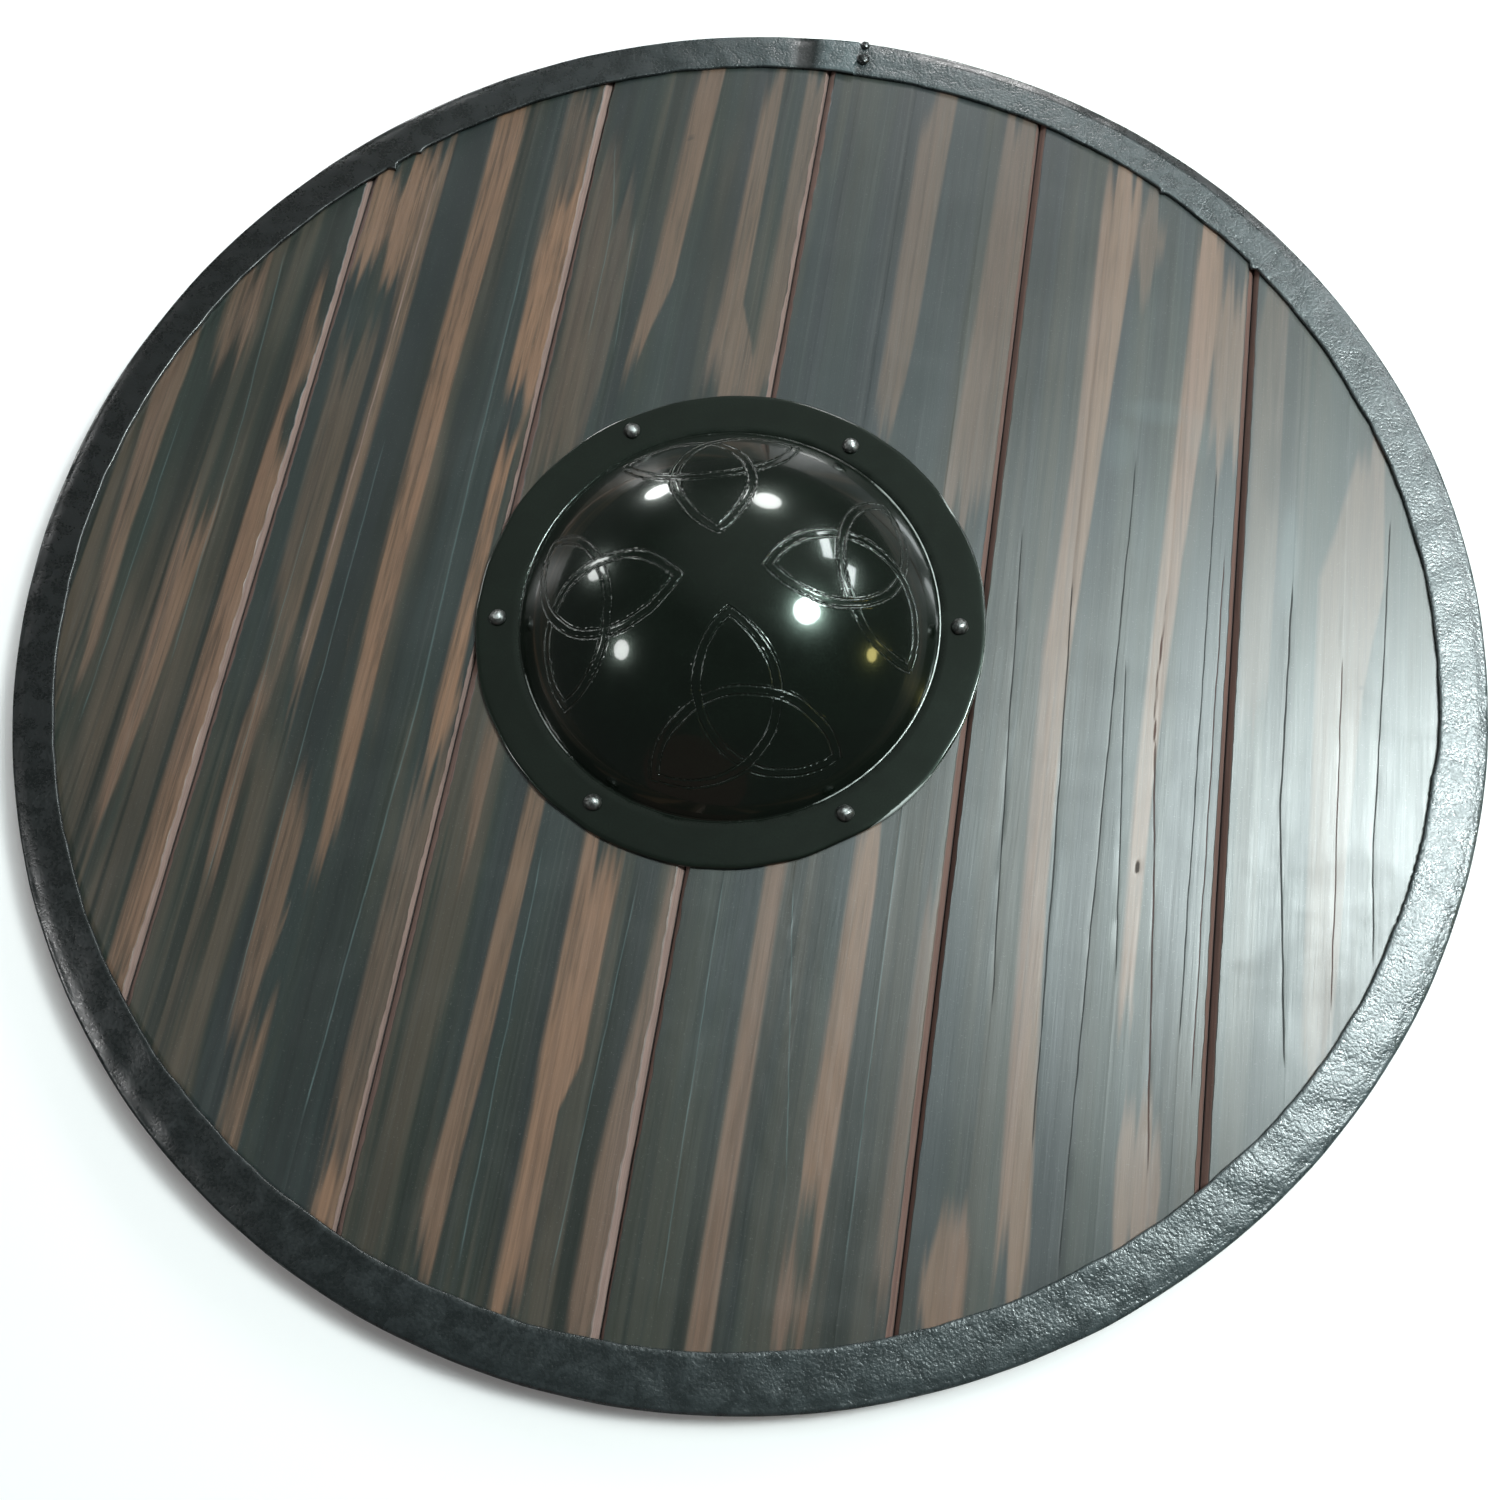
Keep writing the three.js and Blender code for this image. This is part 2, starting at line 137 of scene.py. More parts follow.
class Graph:
    """One shader tree, with short calls that add nodes and link them."""

    def __init__(self, tree: bpy.types.NodeTree) -> None:
        """Keeps the tree."""
        self.tree = tree

    def add(self, kind: str, inputs: dict | None = None, **settings: object) -> bpy.types.Node:
        """Adds a node.

        Args:
            kind: its type without the ShaderNode prefix.
            inputs: what feeds its inputs, by name or number: a socket or a value.
            **settings: its own properties.

        Returns:
            The new node.
        """
        node = self.tree.nodes.new("ShaderNode" + kind)
        for name, value in settings.items():
            setattr(node, name, value)
        for key, value in (inputs or {}).items():
            self.feed(node.inputs[key], value)
        return node

    def feed(self, socket: Socket, value: Input) -> None:
        """Links a socket to another one, or sets its value.

        Args:
            socket: the input to feed.
            value: an output socket, or a plain value.
        """
        if isinstance(value, Socket):
            self.tree.links.new(value, socket)
        else:
            socket.default_value = value

    def math(self, operation: str, *values: Input, clamp: bool = False) -> Socket:
        """A sum, product or other operation on numbers."""
        inputs = dict(enumerate(values))
        return self.add("Math", inputs, operation=operation, use_clamp=clamp).outputs[0]

    def blend(self, share: Input, first: Input, second: Input, kind: str = "MIX") -> Socket:
        """Mixes two colours by a share from 0 to 1."""
        inputs = {0: share, 6: first, 7: second}
        return self.add("Mix", inputs, data_type="RGBA", blend_type=kind).outputs[2]

    def between(self, value: Input, low: Input, high: Input,
                to_low: Input = 0.0, to_high: Input = 1.0) -> Socket:
        """Maps a number smoothly from one range to another and clamps it."""
        inputs = {0: value, 1: low, 2: high, 3: to_low, 4: to_high}
        return self.add("MapRange", inputs, interpolation_type="SMOOTHSTEP").outputs[0]

    def noise(self, place: Socket, scale: Input, detail: float = 2.0, rough: float = 0.5,
              bend: float = 0.0) -> Socket:
        """Noise from 0 to 1 at a place."""
        inputs = {"Vector": place, "Scale": scale, "Detail": detail, "Roughness": rough}
        return self.add("TexNoise", {**inputs, "Distortion": bend}).outputs[0]

    def stretched(self, place: Socket, along: Input, seed: Input) -> Socket:
        """A place shifted by a seed and pulled out along Y.

        Args:
            place: the vector to pull.
            along: how many times longer a pattern is along Y.
            seed: shifts the pattern.

        Returns:
            The new vector.
        """
        shift = self.add("CombineXYZ", {0: seed, 1: self.math("MULTIPLY", seed, 1.7)}).outputs[0]
        moved = self.add("VectorMath", {0: place, 1: shift}, operation="ADD").outputs[0]
        pull = self.add("CombineXYZ", {0: 1.0, 1: self.math("DIVIDE", 1.0, along), 2: 1.0}).outputs[0]
        return self.add("VectorMath", {0: moved, 1: pull}, operation="MULTIPLY").outputs[0]

    def attribute(self, name: str) -> Socket:
        """A number kept on the mesh."""
        return self.add("Attribute", attribute_name=name).outputs["Fac"]

    def place(self) -> Socket:
        """Where a point is on the object, in metres."""
        return self.add("TexCoord").outputs["Object"]

    def bump(self, height: Socket, distance: float, strength: float = 1.0,
             under: Socket | None = None) -> Socket:
        """Bends a normal by a height.

        Args:
            height: the relief.
            distance: how deep it goes, in metres.
            strength: how much of it shows.
            under: a normal that is bent already.

        Returns:
            The new normal.
        """
        inputs = {"Height": height, "Distance": distance, "Strength": strength}
        if under is not None:
            inputs["Normal"] = under
        return self.add("Bump", inputs).outputs[0]


class Effect:
    """A shader node group: an effect that several materials share."""

    made: dict[str, bpy.types.NodeTree] = {}

    def __init__(self, name: str, inputs: dict[str, float | None], outputs: tuple[str, ...]) -> None:
        """Starts the group with its named sockets.

        Args:
            name: the group's name.
            inputs: input names with their default values; a vector's is None.
            outputs: output names, all numbers.
        """
        self.tree = bpy.data.node_groups.new(name, "ShaderNodeTree")
        for label, value in inputs.items():
            kind = "NodeSocketVector" if value is None else "NodeSocketFloat"
            socket = self.tree.interface.new_socket(label, in_out="INPUT", socket_type=kind)
            if value is not None:
                socket.default_value = value
        for label in outputs:
            self.tree.interface.new_socket(label, in_out="OUTPUT", socket_type="NodeSocketFloat")
        self.graph = Graph(self.tree)
        self.given = self.tree.nodes.new("NodeGroupInput").outputs
        self.out = self.tree.nodes.new("NodeGroupOutput").inputs
        Effect.made[name] = self.tree

    @staticmethod
    def use(graph: Graph, name: str, **inputs: Input) -> Outputs:
        """Places a finished group in a material.

        Args:
            graph: the material's tree.
            name: the group's name.
            **inputs: values or sockets, by the names of the group's inputs.

        Returns:
            The group's outputs.
        """
        node = graph.tree.nodes.new("ShaderNodeGroup")
        node.node_tree = Effect.made[name]
        for label, value in inputs.items():
            graph.feed(node.inputs[label], value)
        return node.outputs


def make_wood_grain() -> None:
    """Builds the grain of a board: fine fibres, broad bands and a height."""
    effect = Effect("Wood grain", {"Place": None, "Lines": 900.0, "Length": 40.0, "Seed": 0.0},
                    ("Fibres", "Bands", "Hairs", "Height"))
    g, given, out = effect.graph, effect.given, effect.out
    long_place = g.stretched(given["Place"], given["Length"], given["Seed"])
    fine = g.noise(long_place, given["Lines"], 3.0, 0.65, 0.15)
    middle = g.noise(long_place, g.math("DIVIDE", given["Lines"], 3.5), 2.0, 0.6)
    fibres = g.math("ADD", g.math("MULTIPLY", fine, 0.55), g.math("MULTIPLY", middle, 0.45))
    g.feed(out["Fibres"], g.between(fibres, 0.32, 0.68))
    broad = g.noise(long_place, g.math("DIVIDE", given["Lines"], 16.0), 3.0, 0.55, 0.3)
    g.feed(out["Bands"], g.between(broad, 0.3, 0.7))
    hair_place = g.stretched(given["Place"], g.math("MULTIPLY", given["Length"], 5.0), given["Seed"])
    contour = g.noise(hair_place, g.math("DIVIDE", given["Lines"], 9.0), 1.0)
    off = g.math("ABSOLUTE", g.math("SUBTRACT", contour, 0.5))
    g.feed(out["Hairs"], g.between(off, 0.012, 0.002))
    g.feed(out["Height"], fine)


def make_open_stain() -> None:
    """Builds the torn border and fingered ends of a streak that the stain left open."""
    inputs = {"Place": None, "Edge": 0.0, "End": 0.0, "Fringe": 1.5, "Softness": 0.6, "Seed": 0.0}
    effect = Effect("Open stain", inputs, ("Mask",))
    g, given, out = effect.graph, effect.given, effect.out
    torn = g.noise(g.stretched(given["Place"], 65.0, given["Seed"]), 120.0, 4.0, 0.62)
    shift = g.math("MULTIPLY", g.math("SUBTRACT", torn, 0.5), g.math("MULTIPLY", given["Fringe"], 2.0))
    edge = g.math("ADD", given["Edge"], shift)
    fingers = g.noise(g.stretched(given["Place"], 120.0, g.math("ADD", given["Seed"], 9.0)), 170.0, 2.0, 0.6)
    reach = g.between(fingers, 0.28, 0.72, 0.0, 0.75)
    tip = g.between(g.math("SUBTRACT", given["End"], reach), -0.14, 0.3)
    soft = given["Softness"]
    side = g.between(edge, g.math("MULTIPLY", soft, -1.0), soft)
    g.feed(out["Mask"], g.math("MULTIPLY", side, tip))


def make_beaten_skin() -> None:
    """Builds the small dents and cloudy patches of painted or beaten sheet."""
    effect = Effect("Beaten skin", {"Place": None, "Grains": 500.0, "Clouds": 90.0, "Seed": 0.0},
                    ("Speckle", "Clouds", "Height"))
    g, given, out = effect.graph, effect.given, effect.out
    moved = g.stretched(given["Place"], 1.0, given["Seed"])
    grains = g.noise(moved, given["Grains"], 2.0, 0.6)
    clouds = g.noise(moved, given["Clouds"], 3.0, 0.55, 0.6)
    g.feed(out["Speckle"], g.between(grains, 0.35, 0.65))
    g.feed(out["Clouds"], g.between(clouds, 0.32, 0.68))
    g.feed(out["Height"], g.math("ADD", g.math("MULTIPLY", grains, 0.5), g.math("MULTIPLY", clouds, 0.6)))


def make_edge_wear() -> None:
    """Builds rubbed edges: a mask that breaks up along an edge."""
    effect = Effect("Edge wear", {"Place": None, "Edge": 0.0, "Amount": 0.5, "Grains": 700.0},
                    ("Mask",))
    g, given, out = effect.graph, effect.given, effect.out
    patches = g.noise(given["Place"], g.math("DIVIDE", given["Grains"], 12.0), 2.0)
    grains = g.noise(given["Place"], given["Grains"], 2.0, 0.7)
    broken = g.math("ADD", g.math("MULTIPLY", patches, 0.6), g.math("MULTIPLY", grains, 0.4))
    worn = g.math("MULTIPLY", given["Edge"], g.math("ADD", broken, given["Amount"]))
    g.feed(out["Mask"], g.between(worn, 0.75, 1.05))


def make_dust() -> None:
    """Builds thin dust and matt smears."""
    effect = Effect("Dust", {"Place": None, "Amount": 0.3}, ("Specks", "Smears"))
    g, given, out = effect.graph, effect.given, effect.out
    specks = g.noise(given["Place"], 1500.0, 1.0)
    smears = g.noise(given["Place"], 22.0, 4.0, 0.6, 0.8)
    g.feed(out["Specks"], g.math("MULTIPLY", g.between(specks, 0.68, 0.74), given["Amount"]))
    g.feed(out["Smears"], g.math("MULTIPLY", g.between(smears, 0.42, 0.72), given["Amount"]))


def new_material(name: str) -> tuple[bpy.types.Material, Graph, bpy.types.Node]:
    """Starts a material.

    Args:
        name: the material's name.

    Returns:
        The material, its graph and its Principled shader.
    """
    material = bpy.data.materials.new(name)
    material.use_nodes = True
    graph = Graph(material.node_tree)
    return material, graph, material.node_tree.nodes["Principled BSDF"]


# ---------------------------------------------------------------- finishes


@dataclass(frozen=True)
class BoardFinish:
    """Dark stain with bare streaks under a satin varnish, on one board."""

    seed: float
    wash: float = 0.6  # how far brown shows through the stain
    slate: float = 0.4  # how far blue-grey does
    ground: Colour = shade(20, 27, 21)
    light: Colour = shade(32, 42, 35)
    cool: Colour = shade(24, 35, 42)
    brown: Colour = shade(70, 61, 50)
    bare: Colour = shade(98, 80, 73)
    ochre: Colour = shade(102, 90, 72)
    warm: Colour = shade(132, 98, 74)
    raw: Colour = shade(126, 104, 96)
    deep: Colour = shade(92, 62, 52)
    scored: Colour = shade(84, 104, 104)
    rubbed: Colour = shade(104, 122, 124)
    pale_hair: Colour = shade(92, 96, 92)
    dark_hair: Colour = shade(18, 18, 16)
    lip: Colour = shade(30, 26, 24)  # where a groove starts
    joint: Colour = shade(30, 20, 17)  # where it is deepest
    crack: Colour = shade(24, 27, 27)
    red_crack: Colour = shade(84, 44, 40)
    dusty: Colour = shade(150, 150, 145)
    back: Colour = shade(110, 88, 66)
    varnish: float = 0.35

    def material(self, name: str) -> bpy.types.Material:
        """Builds the board's material; it reads the masks kept on the mesh.

        Args:
            name: the material's name.

        Returns:
            The material.
        """
        material, g, skin = new_material(name)
        place = g.place()
        grain = Effect.use(g, "Wood grain", Place=place, Seed=self.seed)
        fine = Effect.use(g, "Wood grain", Place=place, Seed=self.seed + 3.1, Lines=2400.0, Length=60.0)
        wide = Effect.use(g, "Wood grain", Place=place, Seed=self.seed + 5.7, Lines=520.0, Length=14.0)
        dust = Effect.use(g, "Dust", Place=place, Amount=0.12)
        groove, crack = g.attribute("groove"), g.between(g.attribute("crack"), 0.05, 0.5)
        under = g.between(g.attribute("back"), 0.4, 0.6)
        colour = self.face(g, grain, fine, wide)
        colour = self.cuts(g, colour, groove, crack, grain, fine)
        colour = g.blend(under, colour, self.plain_back(g, grain))
        colour = g.blend(dust["Specks"], colour, self.dusty)
        g.feed(skin.inputs["Base Color"], colour)
        rough = g.math("ADD", self.varnish, g.math("MULTIPLY", grain["Fibres"], 0.05))
        rough = g.math("ADD", rough, g.math("MULTIPLY", dust["Smears"], 0.45))
        rough = g.math("ADD", rough, g.math("MULTIPLY", g.between(groove, 0.03, 0.3), 0.6))
        rough = g.math("ADD", rough, g.math("MULTIPLY", crack, 0.5))
        rough = g.math("ADD", rough, g.math("MULTIPLY", under, 0.35), clamp=True)
        g.feed(skin.inputs["Roughness"], rough)
        relief = g.math("ADD", grain["Height"], g.math("MULTIPLY", fine["Height"], 0.5))
        g.feed(skin.inputs["Normal"], g.bump(relief, 0.0001, 0.35))
        skin.inputs["Specular IOR Level"].default_value = 1.0
        return material

    def face(self, g: Graph, grain: Outputs, fine: Outputs, wide: Outputs) -> Socket:
        """The face: stain with its bare streaks, hairs and smudges.

        Args:
            g: the material's tree.
            grain: the board's own grain.
            fine: a finer grain.
            wide: a broader grain.

        Returns:
            The colour.
        """
        stain = Effect.use(g, "Open stain", Place=g.place(), Edge=g.attribute("stain_edge"),
                           End=g.attribute("stain_end"), Softness=g.attribute("stain_soft"), Seed=self.seed,
                           Fringe=1.0 + 2.4 * self.wash)
        cover = g.math("MULTIPLY", stain["Mask"], g.attribute("stain_strength"))
        colour = g.blend(cover, self.stained(g, grain, fine, wide), self.open_wood(g, grain, fine, wide))
        colour = g.blend(g.math("MULTIPLY", grain["Hairs"], 0.1), colour, self.pale_hair)
        colour = g.blend(g.math("MULTIPLY", wide["Hairs"], 0.22), colour, self.dark_hair)
        smudge = g.attribute("smudge")
        colour = g.blend(g.math("MAXIMUM", smudge, 0.0), colour, self.ground)
        pale = g.math("MAXIMUM", g.math("MULTIPLY", smudge, -1.0), 0.0)
        return g.blend(pale, colour, self.rubbed)

    def stained(self, g: Graph, grain: Outputs, fine: Outputs, wide: Outputs) -> Socket:
        """The dark stain: green-black, slate and brown in long bands.

        Args:
            g: the material's tree.
            grain: the board's own grain.
            fine: a finer grain.
            wide: a broader grain.

        Returns:
            The colour.
        """
        fine_share = g.math("MULTIPLY", fine["Bands"], 0.45)
        tone = g.math("ADD", g.math("MULTIPLY", grain["Bands"], 0.55), fine_share)
        ground = g.blend(g.between(tone, 0.2, 0.8), self.ground, self.light)
        cool = g.math("MULTIPLY", g.between(wide["Bands"], 0.45, 0.95), self.slate)
        ground = g.blend(cool, ground, self.cool)
        wash = g.math("MULTIPLY", g.between(wide["Bands"], 0.8, 0.2), g.between(fine["Bands"], 0.1, 0.75))
        ground = g.blend(g.math("MULTIPLY", wash, self.wash), ground, self.brown)
        contrast = g.blend(fine["Fibres"], (0.74, 0.74, 0.74, 1), (1.24, 1.24, 1.24, 1))
        return g.blend(0.3 + 0.5 * self.wash, ground, contrast, "MULTIPLY")

    def open_wood(self, g: Graph, grain: Outputs, fine: Outputs, wide: Outputs) -> Socket:
        """The bare wood of the streaks, dirtied along its fibres.

        Args:
            g: the material's tree.
            grain: the board's own grain.
            fine: a finer grain.
            wide: a broader grain.

        Returns:
            The colour.
        """
        wood = g.blend(g.math("MULTIPLY", wide["Bands"], 0.6), self.bare, self.ochre)
        wood = g.blend(g.attribute("stain_warmth"), wood, self.warm)
        contrast = g.blend(fine["Fibres"], (0.74, 0.72, 0.71, 1), (1.2, 1.19, 1.18, 1))
        wood = g.blend(0.25 + 0.7 * self.wash, wood, contrast, "MULTIPLY")
        dirt = g.math("MULTIPLY", g.between(grain["Fibres"], 0.85, 0.1), g.between(wide["Fibres"], 0.9, 0.2))
        return g.blend(g.math("MULTIPLY", dirt, 0.6 * self.wash), wood, self.ground)

    def cuts(self, g: Graph, colour: Socket, groove: Socket, crack: Socket, grain: Outputs,
             fine: Outputs) -> Socket:
        """Lays grooves, cracks, scores and splinters over the face's colour.

        Args:
            g: the material's tree.
            colour: the face.
            groove: how deep in a groove a point is, from 0 to 1.
            crack: how far it lies in a crack, from 0 to 1.
            grain: the board's own grain.
            fine: a finer grain.

        Returns:
            The colour.
        """
        # raw wood on the bevels, painted paler where they face the key light and darker where turned away:
        # painted light and shade over the raw wood
        cut = g.blend(g.attribute("groove_raw_and_lit"), self.deep, self.raw)
        contrast = g.blend(fine["Fibres"], (0.6, 0.56, 0.56, 1), (1.3, 1.3, 1.3, 1))
        cut = g.blend(0.7, cut, contrast, "MULTIPLY")
        colour = g.blend(g.between(groove, 0.0, 0.06, 0.0, 0.35), colour, self.lip)
        colour = g.blend(g.between(groove, 0.06, 0.2), colour, cut)
        colour = g.blend(g.between(groove, 0.84, 0.99), colour, self.joint)
        ink = g.blend(g.attribute("crack_red"), self.crack, self.red_crack)
        colour = g.blend(g.math("MULTIPLY", crack, 0.8), colour, ink)
        colour = g.blend(g.math("MULTIPLY", g.attribute("score"), 0.65), colour, self.scored)
        splinter = g.between(g.attribute("splinter"), 0.1, 0.8)
        pale = g.math("MULTIPLY", splinter, g.between(grain["Fibres"], 0.0, 0.8, 0.3, 0.9))
        return g.blend(pale, colour, self.raw)

    def plain_back(self, g: Graph, grain: Outputs) -> Socket:
        """The unstained back.

        Args:
            g: the material's tree.
            grain: the board's own grain.

        Returns:
            The colour.
        """
        plain = g.blend(grain["Bands"], self.back, g.blend(0.4, self.back, self.deep))
        contrast = g.blend(grain["Fibres"], (0.6, 0.58, 0.55, 1), (1.3, 1.3, 1.3, 1))
        return g.blend(0.6, plain, contrast, "MULTIPLY")


@dataclass(frozen=True)
class PaintFinish:
    """Black paint on sheet steel."""

    name: str
    paint: Colour
    cloudy: Colour
    metal: Colour
    roughness: float
    spread: float  # how much rougher it gets in patches
    grains: float  # how many small dents there are in a metre
    clouds: float  # how many cloudy patches
    dent: float  # depth of the dents, in metres
    wear: float
    level: float  # how strongly the paint reflects
    even: float = 1.0  # how much of its dents are left where the paint gets neither painted sheen nor rubbing
    dust: float = 0.1
    # pale teal-grey, laid on as painted sheen on the rim's lit side and as rubbed paint at its lap
    pale_sheen_and_wear: Colour = shade(84, 96, 98)
    dusty: Colour = shade(120, 122, 120)
    gloss: float = 0.0  # weight of a clear gloss over the paint
    sheen: Colour = (1.0, 1.0, 1.0, 1.0)  # tint of what the paint under the gloss reflects

    def material(self) -> bpy.types.Material:
        """Builds the paint, worn to the metal where the mesh says so, and paled towards teal-grey where the
        mesh asks for a painted sheen or rubbed paint.

        Returns:
            The material.
        """
        material, g, skin = new_material(self.name)
        place = g.place()
        beaten = Effect.use(g, "Beaten skin", Place=place, Grains=self.grains, Clouds=self.clouds)
        dust = Effect.use(g, "Dust", Place=place, Amount=self.dust)
        worn = Effect.use(g, "Edge wear", Place=place, Edge=g.attribute("edge"), Amount=self.wear)["Mask"]
        scratch = Effect.use(g, "Edge wear", Place=place, Edge=g.attribute("line"), Amount=self.wear + 0.1,
                             Grains=1400.0)["Mask"]
        bare = g.math("MAXIMUM", worn, scratch)
        colour = g.blend(g.math("MULTIPLY", beaten["Clouds"], beaten["Speckle"]), self.paint, self.cloudy)
        # painted sheen and rubbed paint: the rim's mask pales its paint, most on the lit right side
        sheen_and_wear = g.math("MULTIPLY", g.attribute("sheen_and_wear"), g.between(beaten["Clouds"], 0.0, 1.0, 0.7, 1.0))
        colour = g.blend(sheen_and_wear, colour, self.pale_sheen_and_wear)
        colour = g.blend(bare, colour, self.metal)
        colour = g.blend(dust["Specks"], colour, self.dusty)
        g.feed(skin.inputs["Base Color"], colour)
        g.feed(skin.inputs["Metallic"], g.math("MULTIPLY", bare, 0.7))
        rough = g.math("ADD", self.roughness, g.math("MULTIPLY", beaten["Speckle"], self.spread))
        rough = g.math("ADD", rough, g.math("MULTIPLY", beaten["Clouds"], self.spread))
        rough = g.math("ADD", rough, g.math("MULTIPLY", dust["Smears"], self.spread))
        rough = g.math("ADD", rough, g.math("MULTIPLY", g.attribute("satin"), 0.12))
        rough = g.math("ADD", rough, g.math("MULTIPLY", bare, 0.25), clamp=True)
        g.feed(skin.inputs["Roughness"], rough)
        chatter = g.math("MULTIPLY", g.noise(place, 1300.0, 2.0, 0.7), g.attribute("line"))
        rough_cut = g.bump(chatter, 0.00012)
        dents = g.between(g.attribute("sheen_and_wear"), 0.0, 0.35, self.even, 1.0)
        dents = g.math("MULTIPLY", beaten["Height"], dents)
        g.feed(skin.inputs["Normal"], g.bump(dents, self.dent, 1.0, rough_cut))
        skin.inputs["Specular IOR Level"].default_value = self.level
        skin.inputs["Specular Tint"].default_value = self.sheen
        skin.inputs["Coat Weight"].default_value = self.gloss
        skin.inputs["Coat Roughness"].default_value = 0.06
        g.feed(skin.inputs["Coat Normal"], rough_cut)
        return material


@dataclass(frozen=True)
class SteelFinish:
    """Dull grey steel with dark hollows."""

    steel: Colour = shade(128, 130, 128)
    dark: Colour = shade(58, 58, 55)
    rubbed: Colour = shade(190, 192, 190)

    def material(self) -> bpy.types.Material:
        """Builds the steel of the rivets.

        Returns:
            The material.
        """
        material, g, skin = new_material("rivet_steel")
        place = g.place()
        beaten = Effect.use(g, "Beaten skin", Place=place, Grains=1400.0, Clouds=420.0)
        worn = Effect.use(g, "Edge wear", Place=place, Edge=g.attribute("edge"), Amount=0.45, Grains=1600.0)
        colour = g.blend(beaten["Clouds"], self.dark, self.steel)
        colour = g.blend(worn["Mask"], colour, self.rubbed)
        g.feed(skin.inputs["Base Color"], colour)
        g.feed(skin.inputs["Metallic"], g.between(beaten["Clouds"], 0.0, 1.0, 0.75, 1.0))
        g.feed(skin.inputs["Roughness"], g.between(beaten["Speckle"], 0.0, 1.0, 0.34, 0.55))
        g.feed(skin.inputs["Normal"], g.bump(beaten["Height"], 0.00012, 0.8))
        return material


@dataclass(frozen=True)
class GripFinish:
    """Plain oiled wood, handled smooth."""

    light: Colour = shade(142, 108, 76)
    dark: Colour = shade(92, 64, 42)
    grain_turn: float = 82.7  # degrees from the grip's length to the grain group's Y

    def material(self) -> bpy.types.Material:
        """Builds the grip's wood, whose grain runs along the bar.

        Returns:
            The material.
        """
        material, g, skin = new_material("grip_wood")
        turned = {"Vector": g.place(), "Angle": math.radians(self.grain_turn)}
        place = g.add("VectorRotate", turned, rotation_type="Z_AXIS").outputs[0]
        grain = Effect.use(g, "Wood grain", Place=place, Seed=5.0, Lines=700.0, Length=18.0)
        dust = Effect.use(g, "Dust", Place=place, Amount=0.4)
        colour = g.blend(grain["Bands"], self.light, self.dark)
        contrast = g.blend(grain["Fibres"], (0.6, 0.57, 0.54, 1), (1.25, 1.25, 1.25, 1))
        colour = g.blend(0.6, colour, contrast, "MULTIPLY")
        colour = g.blend(dust["Smears"], colour, self.dark)
        g.feed(skin.inputs["Base Color"], colour)
        g.feed(skin.inputs["Roughness"], g.between(grain["Fibres"], 0.0, 1.0, 0.5, 0.66))
        g.feed(skin.inputs["Normal"], g.bump(grain["Height"], 0.0002, 0.6))
        return material


# ---------------------------------------------------------------- meshes


def new_piece(name: str, vertices: np.ndarray, faces: list, material: bpy.types.Material,
              sharp: float = 40.0) -> bpy.types.Object:
    """Makes an object of a mesh in millimetres.

    Args:
        name: the object's name.
        vertices: an array of places, n by 3.
        faces: rows of vertex numbers.
        material: its material.
        sharp: edges that turn more than this many degrees stay sharp.

    Returns:
        The object, in the scene, with its faces turned outwards.
    """
    mesh = bpy.data.meshes.new(name)
    mesh.from_pydata((np.asarray(vertices) * MM).tolist(), [], faces)
    work = bmesh.new()
    work.from_mesh(mesh)
    bmesh.ops.recalc_face_normals(work, faces=work.faces)
    work.to_mesh(mesh)
    work.free()
    mesh.shade_smooth()
    mesh.set_sharp_from_angle(angle=math.radians(sharp))
    mesh.materials.append(material)
    piece = bpy.data.objects.new(name, mesh)
    bpy.context.scene.collection.objects.link(piece)
    return piece


def loft_faces(rows: int, columns: int, closed: bool) -> list[tuple[int, int, int, int]]:
    """Quads between rows of a grid whose columns run round a loop.

    Args:
        rows: how many loops.
        columns: points in each loop.
        closed: whether the last loop joins the first.

    Returns:
        Rows of four vertex numbers.
    """
    faces = []
    for i in range(rows if closed else rows - 1):
        here, there = i * columns, (i + 1) % rows * columns
        faces += [(here + j, here + (j + 1) % columns, there + (j + 1) % columns, there + j)
                  for j in range(columns)]
    return faces


def coordinates(mesh: bpy.types.Mesh) -> np.ndarray:
    """Reads a mesh's vertices.

    Args:
        mesh: the mesh.

    Returns:
        Places in millimetres, n by 3.
    """
    flat = np.empty(3 * len(mesh.vertices))
    mesh.vertices.foreach_get("co", flat)
    return flat.reshape(-1, 3) / MM


def keep_mask(mesh: bpy.types.Mesh, name: str, values: np.ndarray) -> None:
    """Keeps a number for each vertex, for the materials to read."""
    layer = mesh.attributes.new(name, "FLOAT", "POINT")
    layer.data.foreach_set("value", np.ascontiguousarray(values, np.float32))


